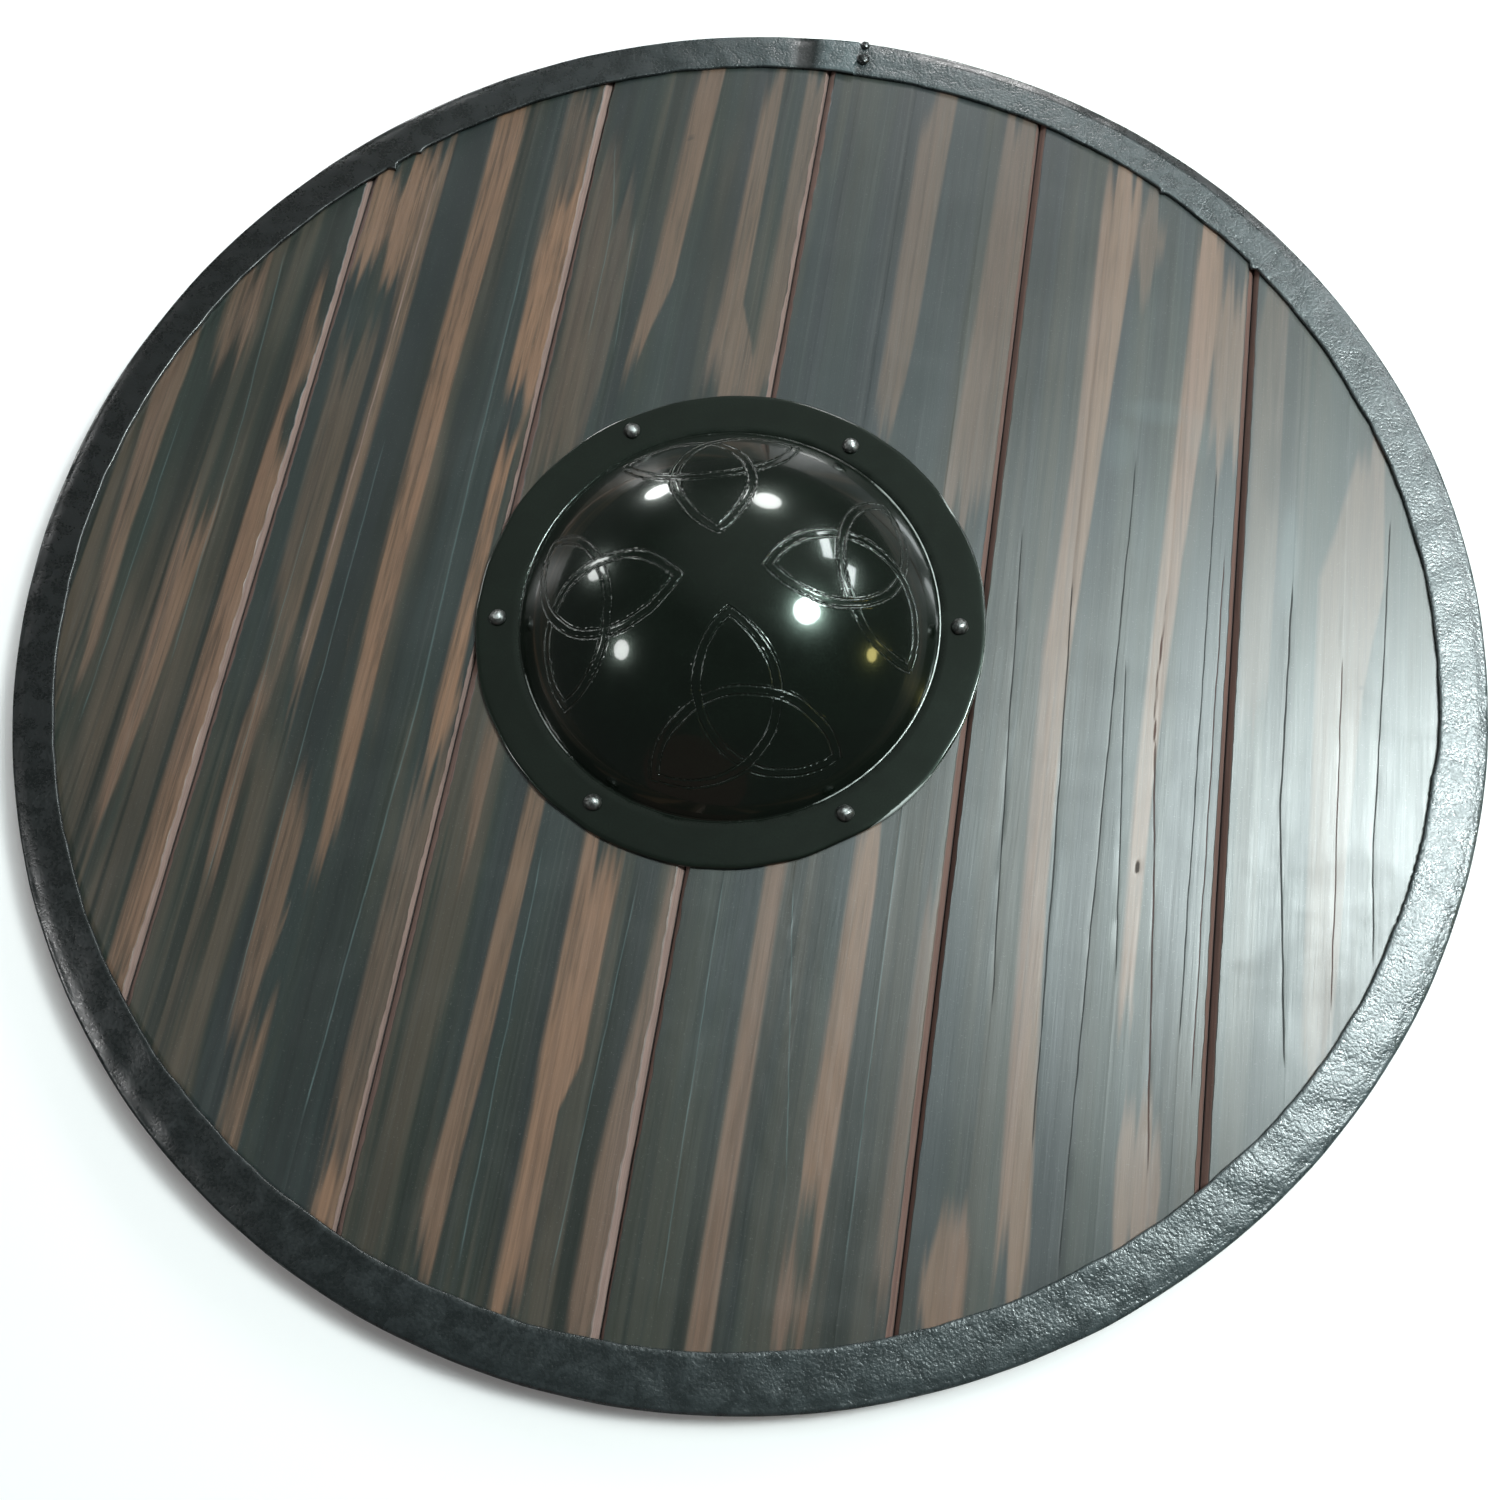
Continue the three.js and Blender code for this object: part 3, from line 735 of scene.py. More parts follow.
def cut_away(piece: bpy.types.Object, holes: list[Hole], sharp: float = 40.0) -> None:
    """Bores upright round holes through a piece.

    Args:
        piece: the object to bore.
        holes: the holes.
        sharp: edges that turn more than this many degrees stay sharp.
    """
    tool_mesh = bpy.data.meshes.new("bore")
    work = bmesh.new()
    for x, y, radius, low, high in holes:
        place = Matrix.Translation(Vector((x, y, (low + high) / 2)) * MM)
        sides = 128 if radius > 10 else 24
        bmesh.ops.create_cone(work, cap_ends=True, segments=sides, radius1=radius * MM,
                              radius2=radius * MM, depth=(high - low) * MM, matrix=place)
    work.to_mesh(tool_mesh)
    work.free()
    tool = bpy.data.objects.new("bore", tool_mesh)
    bpy.context.scene.collection.objects.link(tool)
    change = piece.modifiers.new("bore", "BOOLEAN")
    change.operation = "DIFFERENCE"
    change.solver = "EXACT"
    change.object = tool
    bored = bpy.data.meshes.new_from_object(piece.evaluated_get(bpy.context.evaluated_depsgraph_get()))
    piece.modifiers.clear()
    piece.data = bored
    bpy.data.objects.remove(tool)
    bored.set_sharp_from_angle(angle=math.radians(sharp))


def settle(piece: bpy.types.Object, node: str) -> None:
    """Lets a piece stand for a solid and ride on the shield.

    Args:
        piece: the finished piece.
        node: the solid's name.
    """
    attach(piece, "root")
    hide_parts(node)
    log.info("%s: %d vertices, %d faces", piece.name, len(piece.data.vertices), len(piece.data.polygons))


# ---------------------------------------------------------------- boards


@dataclass(frozen=True)
class Streak:
    """Bare wood that the dark stain left open.

    edges holds (y, left, right) from the top down; past its ends the streak runs out in
    fingers. strength goes from faint to bright, warmth from grey-tan to orange.
    """

    edges: tuple[tuple[float, float, float], ...]
    strength: float = 0.85
    warmth: float = 0.5
    run_out: float = 62.0
    soft: tuple[float, float] = (1.5, 0.8)  # of its left and right borders

    def inside(self, x: np.ndarray, y: np.ndarray) -> tuple[np.ndarray, np.ndarray]:
        """How far each point lies inside the streak.

        Args:
            x, y: places in millimetres.

        Returns:
            Distance inside the nearer border in millimetres, and a share that grows from
            0 at the tips of the fingers to 1 where they join.
        """
        levels = [row[0] for row in self.edges][::-1]
        left = np.interp(y, levels, [row[1] for row in self.edges][::-1])
        right = np.interp(y, levels, [row[2] for row in self.edges][::-1])
        end = np.minimum(levels[-1] + self.run_out / 2 - y, y - levels[0] + self.run_out / 2)
        return np.minimum(x - left, right - x), end / self.run_out

    def softness(self, x: np.ndarray, y: np.ndarray) -> np.ndarray:
        """How soft the nearer border is.

        Args:
            x, y: places in millimetres.

        Returns:
            A softness for each place.
        """
        levels = [row[0] for row in self.edges][::-1]
        middle = np.interp(y, levels, [(row[1] + row[2]) / 2 for row in self.edges][::-1])
        return np.where(x < middle, *self.soft)


class Mark(Enum):
    """What runs along a line on a board."""

    CRACK = "crack"
    SPLINTER = "splinter"
    SCORE = "score"


@dataclass(frozen=True)
class Line:
    """A thin crack, score or pale splinter that wanders down a board."""

    path: tuple[tuple[float, float], ...]  # (x, y) from the top down
    kind: Mark = Mark.CRACK
    width: float = 0.9
    depth: float = 0.05
    red: float = 0.0  # how far bare red wood shows in it

    def x_at(self, y: np.ndarray) -> np.ndarray:
        """Where the line is at each height.

        Args:
            y: heights in millimetres.

        Returns:
            The x of the line.
        """
        levels = [point[1] for point in self.path][::-1]
        x = np.interp(y, levels, [point[0] for point in self.path][::-1])
        return x + 0.16 * wander(y, int(abs(self.path[0][0]) * 7), 60.0)

    def presence(self, x: np.ndarray, y: np.ndarray) -> np.ndarray:
        """How far each point is on the line.

        Args:
            x, y: places in millimetres.

        Returns:
            1 on the line, falling to 0 at its borders and past its ends.
        """
        across = np.clip(1 - np.abs(x - self.x_at(y)) / (self.width / 2), 0, 1)
        top, bottom = self.path[0][1], self.path[-1][1]
        ends = np.clip(np.minimum(top - y, y - bottom) / min(12, (top - bottom) / 4), 0, 1)
        return across * ends * (0.8 + 0.2 * wander(y, int(abs(self.path[0][0]) * 3), 40.0))


@dataclass(frozen=True)
class Groove:
    """The V where two boards meet, cut by hand and a little torn."""

    width: float = 4.2
    lean: tuple[tuple[float, float], ...] = ((280.0, 0.0), (-280.0, 0.0))  # (y, mm to the right)
    tear: float = 0.3
    # how pale each bevel is painted: raw wood, with the bevel facing the key light mostly paler and the
    # other darker, as painted light and shade
    raw_and_lit_left: float = 0.9
    raw_and_lit_right: float = 0.25
    seed: int = 1

    def reach(self, y: np.ndarray, side: int) -> np.ndarray:
        """How far the groove reaches into the board on one side.

        Args:
            y: places along the groove.
            side: 1 for the board on its right, -1 for the one on its left.

        Returns:
            Widths in millimetres.
        """
        lean = np.interp(y, [row[0] for row in self.lean][::-1], [row[1] for row in self.lean][::-1])
        torn = self.tear * (wander(y, self.seed + side, 24.0) + wander(y, self.seed + 7 * side, 110.0))
        return np.maximum(self.width / 2 + side * lean + torn, 0.5)


@dataclass
class Board:
    """One board of the face, as a closed mesh with its grooves, cracks and hand hole."""

    number: int
    finish: BoardFinish
    streaks: tuple[Streak, ...]
    lines: tuple[Line, ...] = ()
    left: Groove | None = None
    right: Groove | None = None
    rows: int = 380
    spacing: float = 2.1  # widest column of the face
    back_cells: int = 8
    groove_steps: int = 6
    groove_depth: float = 2.6
    inset: float = 0.3  # of an outer board's free side
    sharp: float = 15.0  # degrees
    clear: float = 2.6  # least distance between two lines
    smudges: tuple[tuple[float, float, float, float, float], ...] = ()  # x, y, half sizes, dark or pale

    def __post_init__(self) -> None:
        """Takes the board's place from its solid."""
        low, high = node_box(f"board_{self.number}")
        self.low, self.high = low, high
        self.disc = node_box("rim")[1].x - 1.5

    def level(self, t: np.ndarray, x: np.ndarray) -> np.ndarray:
        """The y of points at a share t of their column's half length."""
        return t * np.sqrt(np.maximum(self.disc**2 - x**2, 1))

    def stops(self, t: np.ndarray, near: np.ndarray, far: np.ndarray) -> list[tuple[np.ndarray, np.ndarray]]:
        """What the columns have to follow across the face, from left to right.

        Args:
            t: heights as a share of each column's own length, a column of numbers.
            near, far: the x of the face's left and right edge at those heights.

        Returns:
            The left and right border of each: the near edge, the lines and the far edge.
        """
        stops = [(near, near)]
        for line in sorted(self.lines, key=lambda one: one.path[0][0]):
            x = np.full_like(t, line.path[0][0])
            for _ in range(3):
                x = line.x_at(self.level(t, x))
            x = np.clip(x, stops[-1][1] + self.clear, far - self.clear)
            stops.append((x - line.width / 2, x + line.width / 2))
        return [*stops, (far, far)]

    def columns(self, t: np.ndarray) -> np.ndarray:
        """The x of every column of the face, row by row.

        Args:
            t: heights as a share of each column's own length, a column of numbers.

        Returns:
            An array of rows by columns.
        """
        start = np.full_like(t, self.low.x if self.left else self.low.x + self.inset)
        stop = np.full_like(t, self.high.x if self.right else self.high.x - self.inset)
        near, far = start, stop
        for _ in range(3):
            if self.left:
                near = start + self.left.reach(self.level(t, near), 1)
            if self.right:
                far = stop - self.right.reach(self.level(t, far), -1)
        down = np.linspace(0, 1, self.groove_steps)
        parts = [start + (near - start) * down[:-1]] if self.left else []
        stops = self.stops(t, near, far)
        middles = [float((low + high).mean()) / 2 for low, high in stops]
        for k in range(len(stops) - 1):
            first, last = stops[k][1], stops[k + 1][0]
            count = max(2, math.ceil((middles[k + 1] - middles[k]) / self.spacing))
            parts.append(first + (last - first) * np.linspace(0, 1, count + 1)[None, :])
            if k < len(stops) - 2:
                low, high = stops[k + 1]
                parts.append(low + (high - low) * np.array([[0.25, 0.5, 0.75]]))
        if self.right:
            parts.append(far + (stop - far) * down[1:])
        return np.hstack(parts)

    def face_height(self, x: np.ndarray, y: np.ndarray) -> np.ndarray:
        """The height of the face with its waves, grooves and cracks.

        Args:
            x, y: places in millimetres.

        Returns:
            Heights in millimetres.
        """
        z = self.high.z - 0.12 + 0.1 * ripple(x, y, self.number, 34.0, 160.0)
        z -= 0.05 * np.abs(wander(x, self.number + 20, 7.0))
        for line in self.lines:
            lift = {Mark.CRACK: -line.depth, Mark.SPLINTER: 0.04, Mark.SCORE: 0.0}[line.kind]
            z += lift * line.presence(x, y)
        return z - self.groove_depth * self.groove_share(x, y) ** 1.25

    def groove_share(self, x: np.ndarray, y: np.ndarray) -> np.ndarray:
        """How deep in a groove each point is.

        Args:
            x, y: places in millimetres.

        Returns:
            Shares from 0 at the groove's edge to 1 at the joint.
        """
        share = np.zeros(np.broadcast(x, y).shape)
        if self.left:
            share = np.maximum(share, 1 - (x - self.low.x) / self.left.reach(y, 1))
        if self.right:
            share = np.maximum(share, 1 - (self.high.x - x) / self.right.reach(y, -1))
        return np.clip(share, 0, 1)

    def mesh(self) -> tuple[np.ndarray, list]:
        """Makes the board before its holes are bored.

        Returns:
            Its vertices and faces.
        """
        t = np.linspace(-1, 1, self.rows)[:, None]
        x = self.columns(t)
        y = self.level(t, x)
        z = self.face_height(x, y)
        tops = x.shape[1]
        picks = np.linspace(tops - 1, 0, self.back_cells + 1).round().astype(int)
        loop_x = np.hstack([x, x[:, picks]])
        loop_y = np.hstack([y, y[:, picks]])
        loop_z = np.hstack([z, np.full((self.rows, len(picks)), self.low.z)])
        columns = loop_x.shape[1]
        faces = [list(face) for face in loft_faces(self.rows, columns, False)]
        for row in (0, self.rows - 1):
            base = row * columns
            for k in range(self.back_cells):
                face = [base + j for j in range(picks[k + 1], picks[k] + 1)]
                faces.append(face + [base + tops + k, base + tops + k + 1])
        return np.stack([loop_x, loop_y, loop_z], -1).reshape(-1, 3), faces

    def build(self, holes: list[Hole]) -> bpy.types.Object:
        """Makes the board and bores the holes that reach it.

        Args:
            holes: the shield's holes.

        Returns:
            The finished piece.
        """
        name = f"plank_{self.number}"
        piece = new_piece(name, *self.mesh(), self.finish.material(f"board_wood_{self.number}"), self.sharp)
        mine = [h for h in holes if self.low.x < h[0] + h[2] and h[0] - h[2] < self.high.x]
        if mine:
            cut_away(piece, mine, self.sharp)
        self.dress(piece.data)
        settle(piece, f"board_{self.number}")
        return piece

    def dress(self, mesh: bpy.types.Mesh) -> None:
        """Keeps the masks that the finish reads.

        Args:
            mesh: the finished board.
        """
        x, y, z = coordinates(mesh).T
        face = z > self.high.z - self.groove_depth - 0.5
        for name, values in self.streak_masks(x, y).items():
            keep_mask(mesh, name, values)
        keep_mask(mesh, "groove", self.groove_share(x, y) * face)
        middle = (self.low.x + self.high.x) / 2
        # how raw and lit each bevel is painted: painted light and shade over raw wood
        raw_and_lit_low = self.left.raw_and_lit_right if self.left else 0.5
        raw_and_lit_high = self.right.raw_and_lit_left if self.right else 0.5
        keep_mask(mesh, "groove_raw_and_lit", np.where(x < middle, raw_and_lit_low, raw_and_lit_high))
        for kind in Mark:
            on_line = [line.presence(x, y) for line in self.lines if line.kind is kind]
            total = np.max(on_line, axis=0) if on_line else np.zeros(len(x))
            keep_mask(mesh, kind.value, total * face)
        red = [line.presence(x, y) * line.red for line in self.lines if line.red]
        keep_mask(mesh, "crack_red", np.max(red, axis=0) if red else np.zeros(len(x)))
        smudge = np.zeros(len(x))
        for at_x, at_y, wide, tall, amount in self.smudges:
            smudge += amount * np.exp(-((((x - at_x) / wide) ** 2 + ((y - at_y) / tall) ** 2) ** 2))
        keep_mask(mesh, "smudge", smudge * face)
        keep_mask(mesh, "back", (z < self.low.z + 0.5).astype(float))

    def streak_masks(self, x: np.ndarray, y: np.ndarray) -> dict[str, np.ndarray]:
        """What the streaks ask of the stain; where two are near, they share.

        Args:
            x, y: places in millimetres.

        Returns:
            Values for each place, by the name that the finish reads.
        """
        bare_board = {"stain_edge": -12.0, "stain_end": -2.0, "stain_soft": 1.0, "stain_warmth": 0.5,
                      "stain_strength": 0.5}
        nearness, asked = [np.full(len(x), -14.0)], [[np.full(len(x), v) for v in bare_board.values()]]
        for streak in self.streaks:
            edge, end = streak.inside(x, y)
            nearness.append(np.minimum(edge, 7 * end))
            asked.append([edge, end, streak.softness(x, y), np.full(len(x), streak.warmth),
                          np.full(len(x), streak.strength)])
        share = np.exp((np.array(nearness) - np.max(nearness, axis=0)) / 0.8)
        share /= share.sum(axis=0)
        mixed = (share[:, None] * np.array(asked)).sum(axis=0)
        return dict(zip(bare_board, mixed))


GROOVES = (  # from left to right: width, lean, tear, how raw and lit its left and right side are painted (mostly paler facing the key light, darker turned away), seed
    Groove(4.6, ((280, 0.5), (-280, 0.5)), 0.3, 1.0, 0.35, 11),
    Groove(4.4, ((280, -1.6), (60, 1.3), (-280, 0.7)), 0.3, 1.0, 0.35, 12),
    Groove(4.6, ((280, 0.9), (-280, -1.2)), 0.3, 1.0, 0.3, 13),
    Groove(4.6, ((280, 0.8), (100, 0.2), (-50, -0.7), (-280, -0.9)), 0.12, 0.25, 0.1, 14),
    Groove(4.8, ((220, -0.5), (-160, 0.0)), 0.12, 0.05, 0.15, 15),
)


def make_boards() -> tuple[Board, ...]:
    """Lists the boards, each with its own streaks, lines and smudges.

    Returns:
        The six boards from left to right.
    """
    splinter, score = Mark.SPLINTER, Mark.SCORE
    return (
        Board(1, BoardFinish(1.0, 1.0, 0.1), (
            Streak(((95, -279, -266), (0, -276, -268), (-60, -270, -266)), 0.7, 0.35),
            Streak(((135, -258, -244), (105, -258, -242)), 0.6, 0.4),
            Streak(((0, -245, -232), (-80, -244, -236), (-133, -243, -240)), 0.75, 0.5),
            Streak(((115, -219, -210), (75, -218, -210)), 0.7, 0.55),
            Streak(((50, -219, -208), (-190, -219, -208)), 0.85, 0.6),
        ), (
            Line(((-231, -50), (-231, -130)), splinter, 1.0),
            Line(((-239, 150), (-234, 60), (-232, -60)), score, 0.8),
            Line(((-262, 60), (-262, -90)), score, 0.7),
        ), None, GROOVES[0], smudges=((-232, 75, 9, 26, 0.4), (-224, -120, 8, 60, 0.4))),
        Board(2, BoardFinish(2.3, 0.9, 0.35), (
            Streak(((200, -208, -180), (150, -208, -182)), 0.9, 0.55, 45),
            Streak(((220, -182, -173), (205, -182, -173), (100, -180, -173), (-70, -179, -174)), 0.7, 0.4),
            Streak(((235, -157, -143), (0, -155, -145), (-120, -149, -143)), 0.8, 0.75),
            Streak(((100, -200, -184), (-30, -198, -184)), 0.35, 0.4, 60),
            Streak(((-65, -195, -187), (-130, -194, -187)), 0.6, 0.5),
            Streak(((-125, -167, -157), (-185, -166, -157)), 0.6, 0.55),
            Streak(((-210, -158, -150), (-245, -157, -150)), 0.7, 0.5),
            Streak(((250, -125, -110), (195, -125, -110)), 0.4, 0.4),
            Streak(((195, -122, -106), (100, -121, -107)), 0.95, 0.75, 50),
            Streak(((55, -117, -110), (-95, -116, -109)), 0.95, 0.85),
            Streak(((-100, -118, -106), (-235, -118, -106)), 0.5, 0.3, 60),
            Streak(((-240, -118, -106), (-268, -118, -106)), 0.9, 0.8),
        ), (
            Line(((-178, 205), (-178, -60)), splinter, 1.2),
            Line(((-127, 165), (-126, 40), (-124, -60), (-128, -230)), score, 1.0),
            Line(((-168, 60), (-166, -200)), score, 0.7),
            Line(((-192, 20), (-190, -150)), score, 0.6),
        ), GROOVES[0], GROOVES[1], smudges=((-135, -150, 9, 95, 0.4), (-160, 60, 8, 60, 0.25))),
        Board(3, BoardFinish(3.9, 0.7, 0.35), (
            Streak(((280, -65, -53), (160, -66, -56), (112, -69, -65)), 0.65, 0.45),
            Streak(((285, -32, -23), (150, -33, -22), (105, -35, -8)), 0.6, 0.35),
            Streak(((280, -13, -4), (105, -13, -5)), 0.45, 0.4, 40),
            Streak(((200, -103, -77), (70, -100, -80)), 0.3, 0.3, 70),
            Streak(((-60, -94, -88), (-110, -94, -88)), 0.5, 0.6),
            Streak(((-90, -70, -63), (-200, -73, -65), (-262, -77, -67)), 0.75, 0.55),
            Streak(((-105, -44, -27), (-190, -44, -28), (-210, -43, -33), (-280, -43, -33)), 0.95, 0.7),
            Streak(((-115, -8, -3), (-230, -15, -4), (-280, -15, -5)), 0.7, 0.3),
        ), (
            Line(((-98, 232), (-90, 185), (-89, 120)), score, 0.7),
            Line(((-80, 190), (-76, 115)), score, 0.6),
            Line(((-60, -110), (-58, -270)), score, 0.8),
            Line(((-20, -120), (-24, -270)), score, 0.7),
        ), GROOVES[1], GROOVES[2], smudges=((-62, 238, 1.0, 1.2, 0.9), (-45, 190, 7, 55, 0.35),
                                            (-52, -200, 6, 60, 0.35))),
        Board(4, BoardFinish(5.2, 0.4, 0.5), (
            Streak(((280, 45, 60), (140, 44, 56), (90, 43, 52)), 0.48, 0.4),
            Streak(((265, 85, 100), (160, 82, 99), (60, 78, 99)), 0.5, 0.35),
            Streak(((-100, 29, 37), (-283, 28, 37)), 0.85, 0.4),
            Streak(((-85, 63, 73), (-230, 60, 70)), 0.85, 0.65),
            Streak(((-250, 57, 68), (-275, 57, 68)), 0.7, 0.4),
            Streak(((-100, 92, 98), (-265, 90, 96)), 0.5, 0.4),
        ), (
            Line(((40, -108), (55, -223)), score, 0.7),
            Line(((78.5, -69), (80, -250)), score, 0.8),
            Line(((13, -110), (16, -270)), score, 0.7),
        ), GROOVES[2], GROOVES[3], smudges=((20, 200, 10, 60, 0.3), (70, 190, 8, 60, 0.25),
                                            (84, -200, 6, 60, 0.3))),
        Board(5, BoardFinish(6.6, 0.35, 0.5), (
            Streak(((245, 134, 150), (220, 133, 150), (100, 132, 143), (0, 127, 138), (-100, 129, 138),
                    (-240, 133, 145)), 0.95, 0.4),
            Streak(((225, 150, 163), (190, 151, 162)), 0.5, 0.3, 50),
            Streak(((215, 178, 192), (50, 172, 180), (-50, 168, 175), (-140, 168, 173)), 0.95, 0.5, 60),
            Streak(((190, 188, 200), (100, 188, 200)), 0.75, 0.35, 60),
            Streak(((-185, 172, 190), (-220, 173, 189)), 0.8, 0.4, 50),
            Streak(((-235, 107, 123), (-262, 107, 123)), 0.8, 0.5, 40),
        ), (
            Line(((113, 60), (117, -40), (122, -150)), width=0.8, depth=0.03),
            Line(((136, 40), (139, -60), (140, -100), (142, -200)), width=0.9, depth=0.03),
            Line(((158, 100), (157, 0), (155, -240)), width=0.8, depth=0.03),
            Line(((160.5, 5), (167, -130)), width=0.7, depth=0.03),
            Line(((171.9, -80.5), (171.7, -86.5)), width=2.4, depth=0.15),
            Line(((175, 40), (174, -20), (178, -80), (184, -200)), width=1.0, depth=0.03, red=0.8),
            Line(((192, 100), (192, -150)), width=0.7, depth=0.03),
            Line(((197.5, 60), (197.5, -170)), width=0.7, depth=0.03, red=0.9),
        ), GROOVES[3], GROOVES[4], smudges=(
            (149.5, 42, 8.5, 13, 0.5), (165, 120, 15, 6, -0.1), (184, 110, 6, 12, -0.1),
            (150, 100, 7, 12, -0.1), (168, 62, 14, 18, -0.05), (122, 180, 8, 22, 0.2))),
        Board(6, BoardFinish(8.1, 0.35, 0.3), (
            Streak(((190, 206, 219), (80, 207, 219), (-20, 207, 218)), 0.42, 0.15),
            Streak(((115, 252, 262), (50, 237, 263), (0, 237, 255), (-140, 237, 247)), 0.6, 0.25, 50),
        ), (
            Line(((226, 50), (225, -50), (231, -155)), width=1.0, depth=0.03),
            Line(((247, 20), (247, -130)), width=0.7, depth=0.03, red=0.9),
            Line(((265, 85), (263, 0), (261, -60), (262, -110)), width=0.8, depth=0.03),
        ), GROOVES[4], None, smudges=(
            (216, 96, 4, 22, 0.35), (224, 58, 4, 26, -0.2), (255.7, 4.3, 0.9, 1.1, 0.8))),
    )


# ---------------------------------------------------------------- rim


@dataclass
class Rim:
    """A strip of sheet steel folded over the boards' edge, lapped and tacked near the top."""

    finish: PaintFinish
    sheet: float = 1.2
    width: float = 20.0
    edge: float = 285.0  # nominal radius of the inner edge
    middle: float = 295.0  # radius of the band's middle
    steps: int = 1080
    lap: float = 88.1  # degrees; where the upper end of the strip stops
    lap_run: float = 4.5  # degrees over which it rises
    lap_rise: float = 0.9
    beads: tuple[tuple[float, float, float], ...] = (
        (302.0, 87.7, 2.2), (293.4, 87.6, 3.2))  # radius, angle, size
    inner: tuple[tuple[float, float], ...] = (
        (-180, 286.9), (-163, 287.1), (-120, 285.2), (-80, 284.0), (-44, 284.4), (-31, 285.4),
        (-20, 285.0), (-6, 284.5), (-4.5, 285.4), (5, 285.1), (30, 284.6), (60, 285.2),
        (87, 284.8), (98, 285.8), (120, 284.9), (135, 284.6), (150, 286.0), (180, 286.9))  # angle, radius
    # Paler paint by angle: a painted sheen, high on the lit right and nil on the left; at 88–92° partly
    # rubbed paint by the lap, while 92.4–93.6° stays dark over the dent as painted shade.
    sheen_and_wear_by_angle: tuple[tuple[float, float], ...] = (
        (-180, 0.0), (-120, 0.05), (-90, 0.15), (-60, 0.4), (-30, 0.7), (0, 0.7), (30, 0.5), (60, 0.45),
        (86, 0.5), (88.0, 0.3), (88.2, 1.0), (91.3, 0.7), (92.4, 0.0), (93.6, 0.0), (95, 0.5), (100, 0.35),
        (110, 0.1), (135, 0.0), (180, 0.0))  # how pale the paint is made at each angle: painted sheen on the lit side, rubbed paint at the lap
    teeth: tuple[tuple[float, float, float], ...] = (
        (44.3, 3.0, 0.5), (55.5, 1.8, 0.5), (134.2, 3.2, 0.45), (131.2, 1.6, 0.5))  # at, depth, half-width
    dents: tuple[tuple[float, float, float, float], ...] = (
        (93.0, 296.0, 7.0, 0.45), (85.4, 292.0, 3.0, 0.35), (84.2, 290.5, 2.5, 0.4),
        (95.8, 297.0, 3.0, 0.3), (82.8, 293.0, 4.0, 0.25))  # angle, radius, size, depth

    def __post_init__(self) -> None:
        """Takes the rim's place from its solid."""
        low, high = node_box("rim")
        self.outer = high.x - 0.05
        self.top = node_box("board_3")[1].z + 0.3 + self.sheet
        self.bottom = low.z

    def inner_edge(self, angle: np.ndarray) -> np.ndarray:
        """The hand-cut inner edge of the upper band.

        Args:
            angle: places round the rim, in degrees.

        Returns:
            The edge's radius at each place.
        """
        reach = np.interp(angle, *zip(*self.inner))
        arc = np.radians(angle) * self.edge
        reach = reach + 0.25 * wander(arc, 3, 45.0)
        for at, depth, half in self.teeth:
            ramp = np.clip(1 - np.abs(angle - at - half) / half, 0, 1)
            reach = reach - depth * ramp**1.3
        serrated = np.clip(np.minimum(angle + 21, -4 - angle) / 2, 0, 1)
        return reach + 0.25 * serrated * wander(arc, 9, 5.0)

    def scallop(self, reach: np.ndarray) -> np.ndarray:
        """How the strip's end curves, in degrees off its nominal angle."""
        along = (reach - self.edge) / self.width
        return 0.28 * np.sin(along * 2 * math.pi * 1.15 + 0.6) - 0.1 * along

    def profile(self) -> tuple[np.ndarray, np.ndarray, np.ndarray]:
        """The strip's section at its nominal inner edge.

        Returns:
            Radius, height, and how far each point belongs to the upper band (0 to 1).
        """
        outer, top, low, sheet, reach = self.outer, self.top, self.bottom, self.sheet, self.edge
        band = np.linspace(reach + 0.5, outer - 2.2, 13)
        shoulder = 0.55 * np.clip((band - outer + 7.0) / 4.8, 0, 1) ** 1.6
        points = [(reach, top - sheet, 1.0), (reach - 0.05, top - 0.75, 1.0), (reach + 0.1, top - 0.2, 1.0)]
        points += [(r, top - s, 1.0) for r, s in zip(band, shoulder)]
        turn = np.radians(np.linspace(75, 0, 6))
        points += [(outer - 1.9 + 1.9 * math.cos(a), top - 2.35 + 1.9 * math.sin(a), 0.6) for a in turn]
        points += [(outer - 0.15, (top + low) / 2, 0.0)]
        turn = np.radians(np.linspace(0, -80, 6))
        points += [(outer - 1.6 + 1.6 * math.cos(a), low + 1.6 + 1.6 * math.sin(a), 0.0) for a in turn]
        points += [(r, low, 0.0) for r in np.linspace(outer - 3.5, reach + 0.3, 5)]
        points += [(reach, low + 0.3, 0.0), (reach, low + sheet, 0.0)]
        points += [(outer - sheet, low + sheet, 0.0), (outer - sheet, top - sheet, 0.5)]
        return tuple(np.array(column) for column in zip(*points))

    def lift(self, angles: np.ndarray, upper: np.ndarray) -> np.ndarray:
        """How far the strip's upper end rises over its lower one.

        Args:
            angles: places round the rim, in degrees.
            upper: how far each point belongs to the upper band.

        Returns:
            Heights in millimetres.
        """
        rise = self.lap_rise * (1 - np.clip((angles - self.lap) / self.lap_run, 0, 1) ** 2)
        return np.where(angles > self.lap, rise, 0.0) * np.clip(upper, 0, 1)

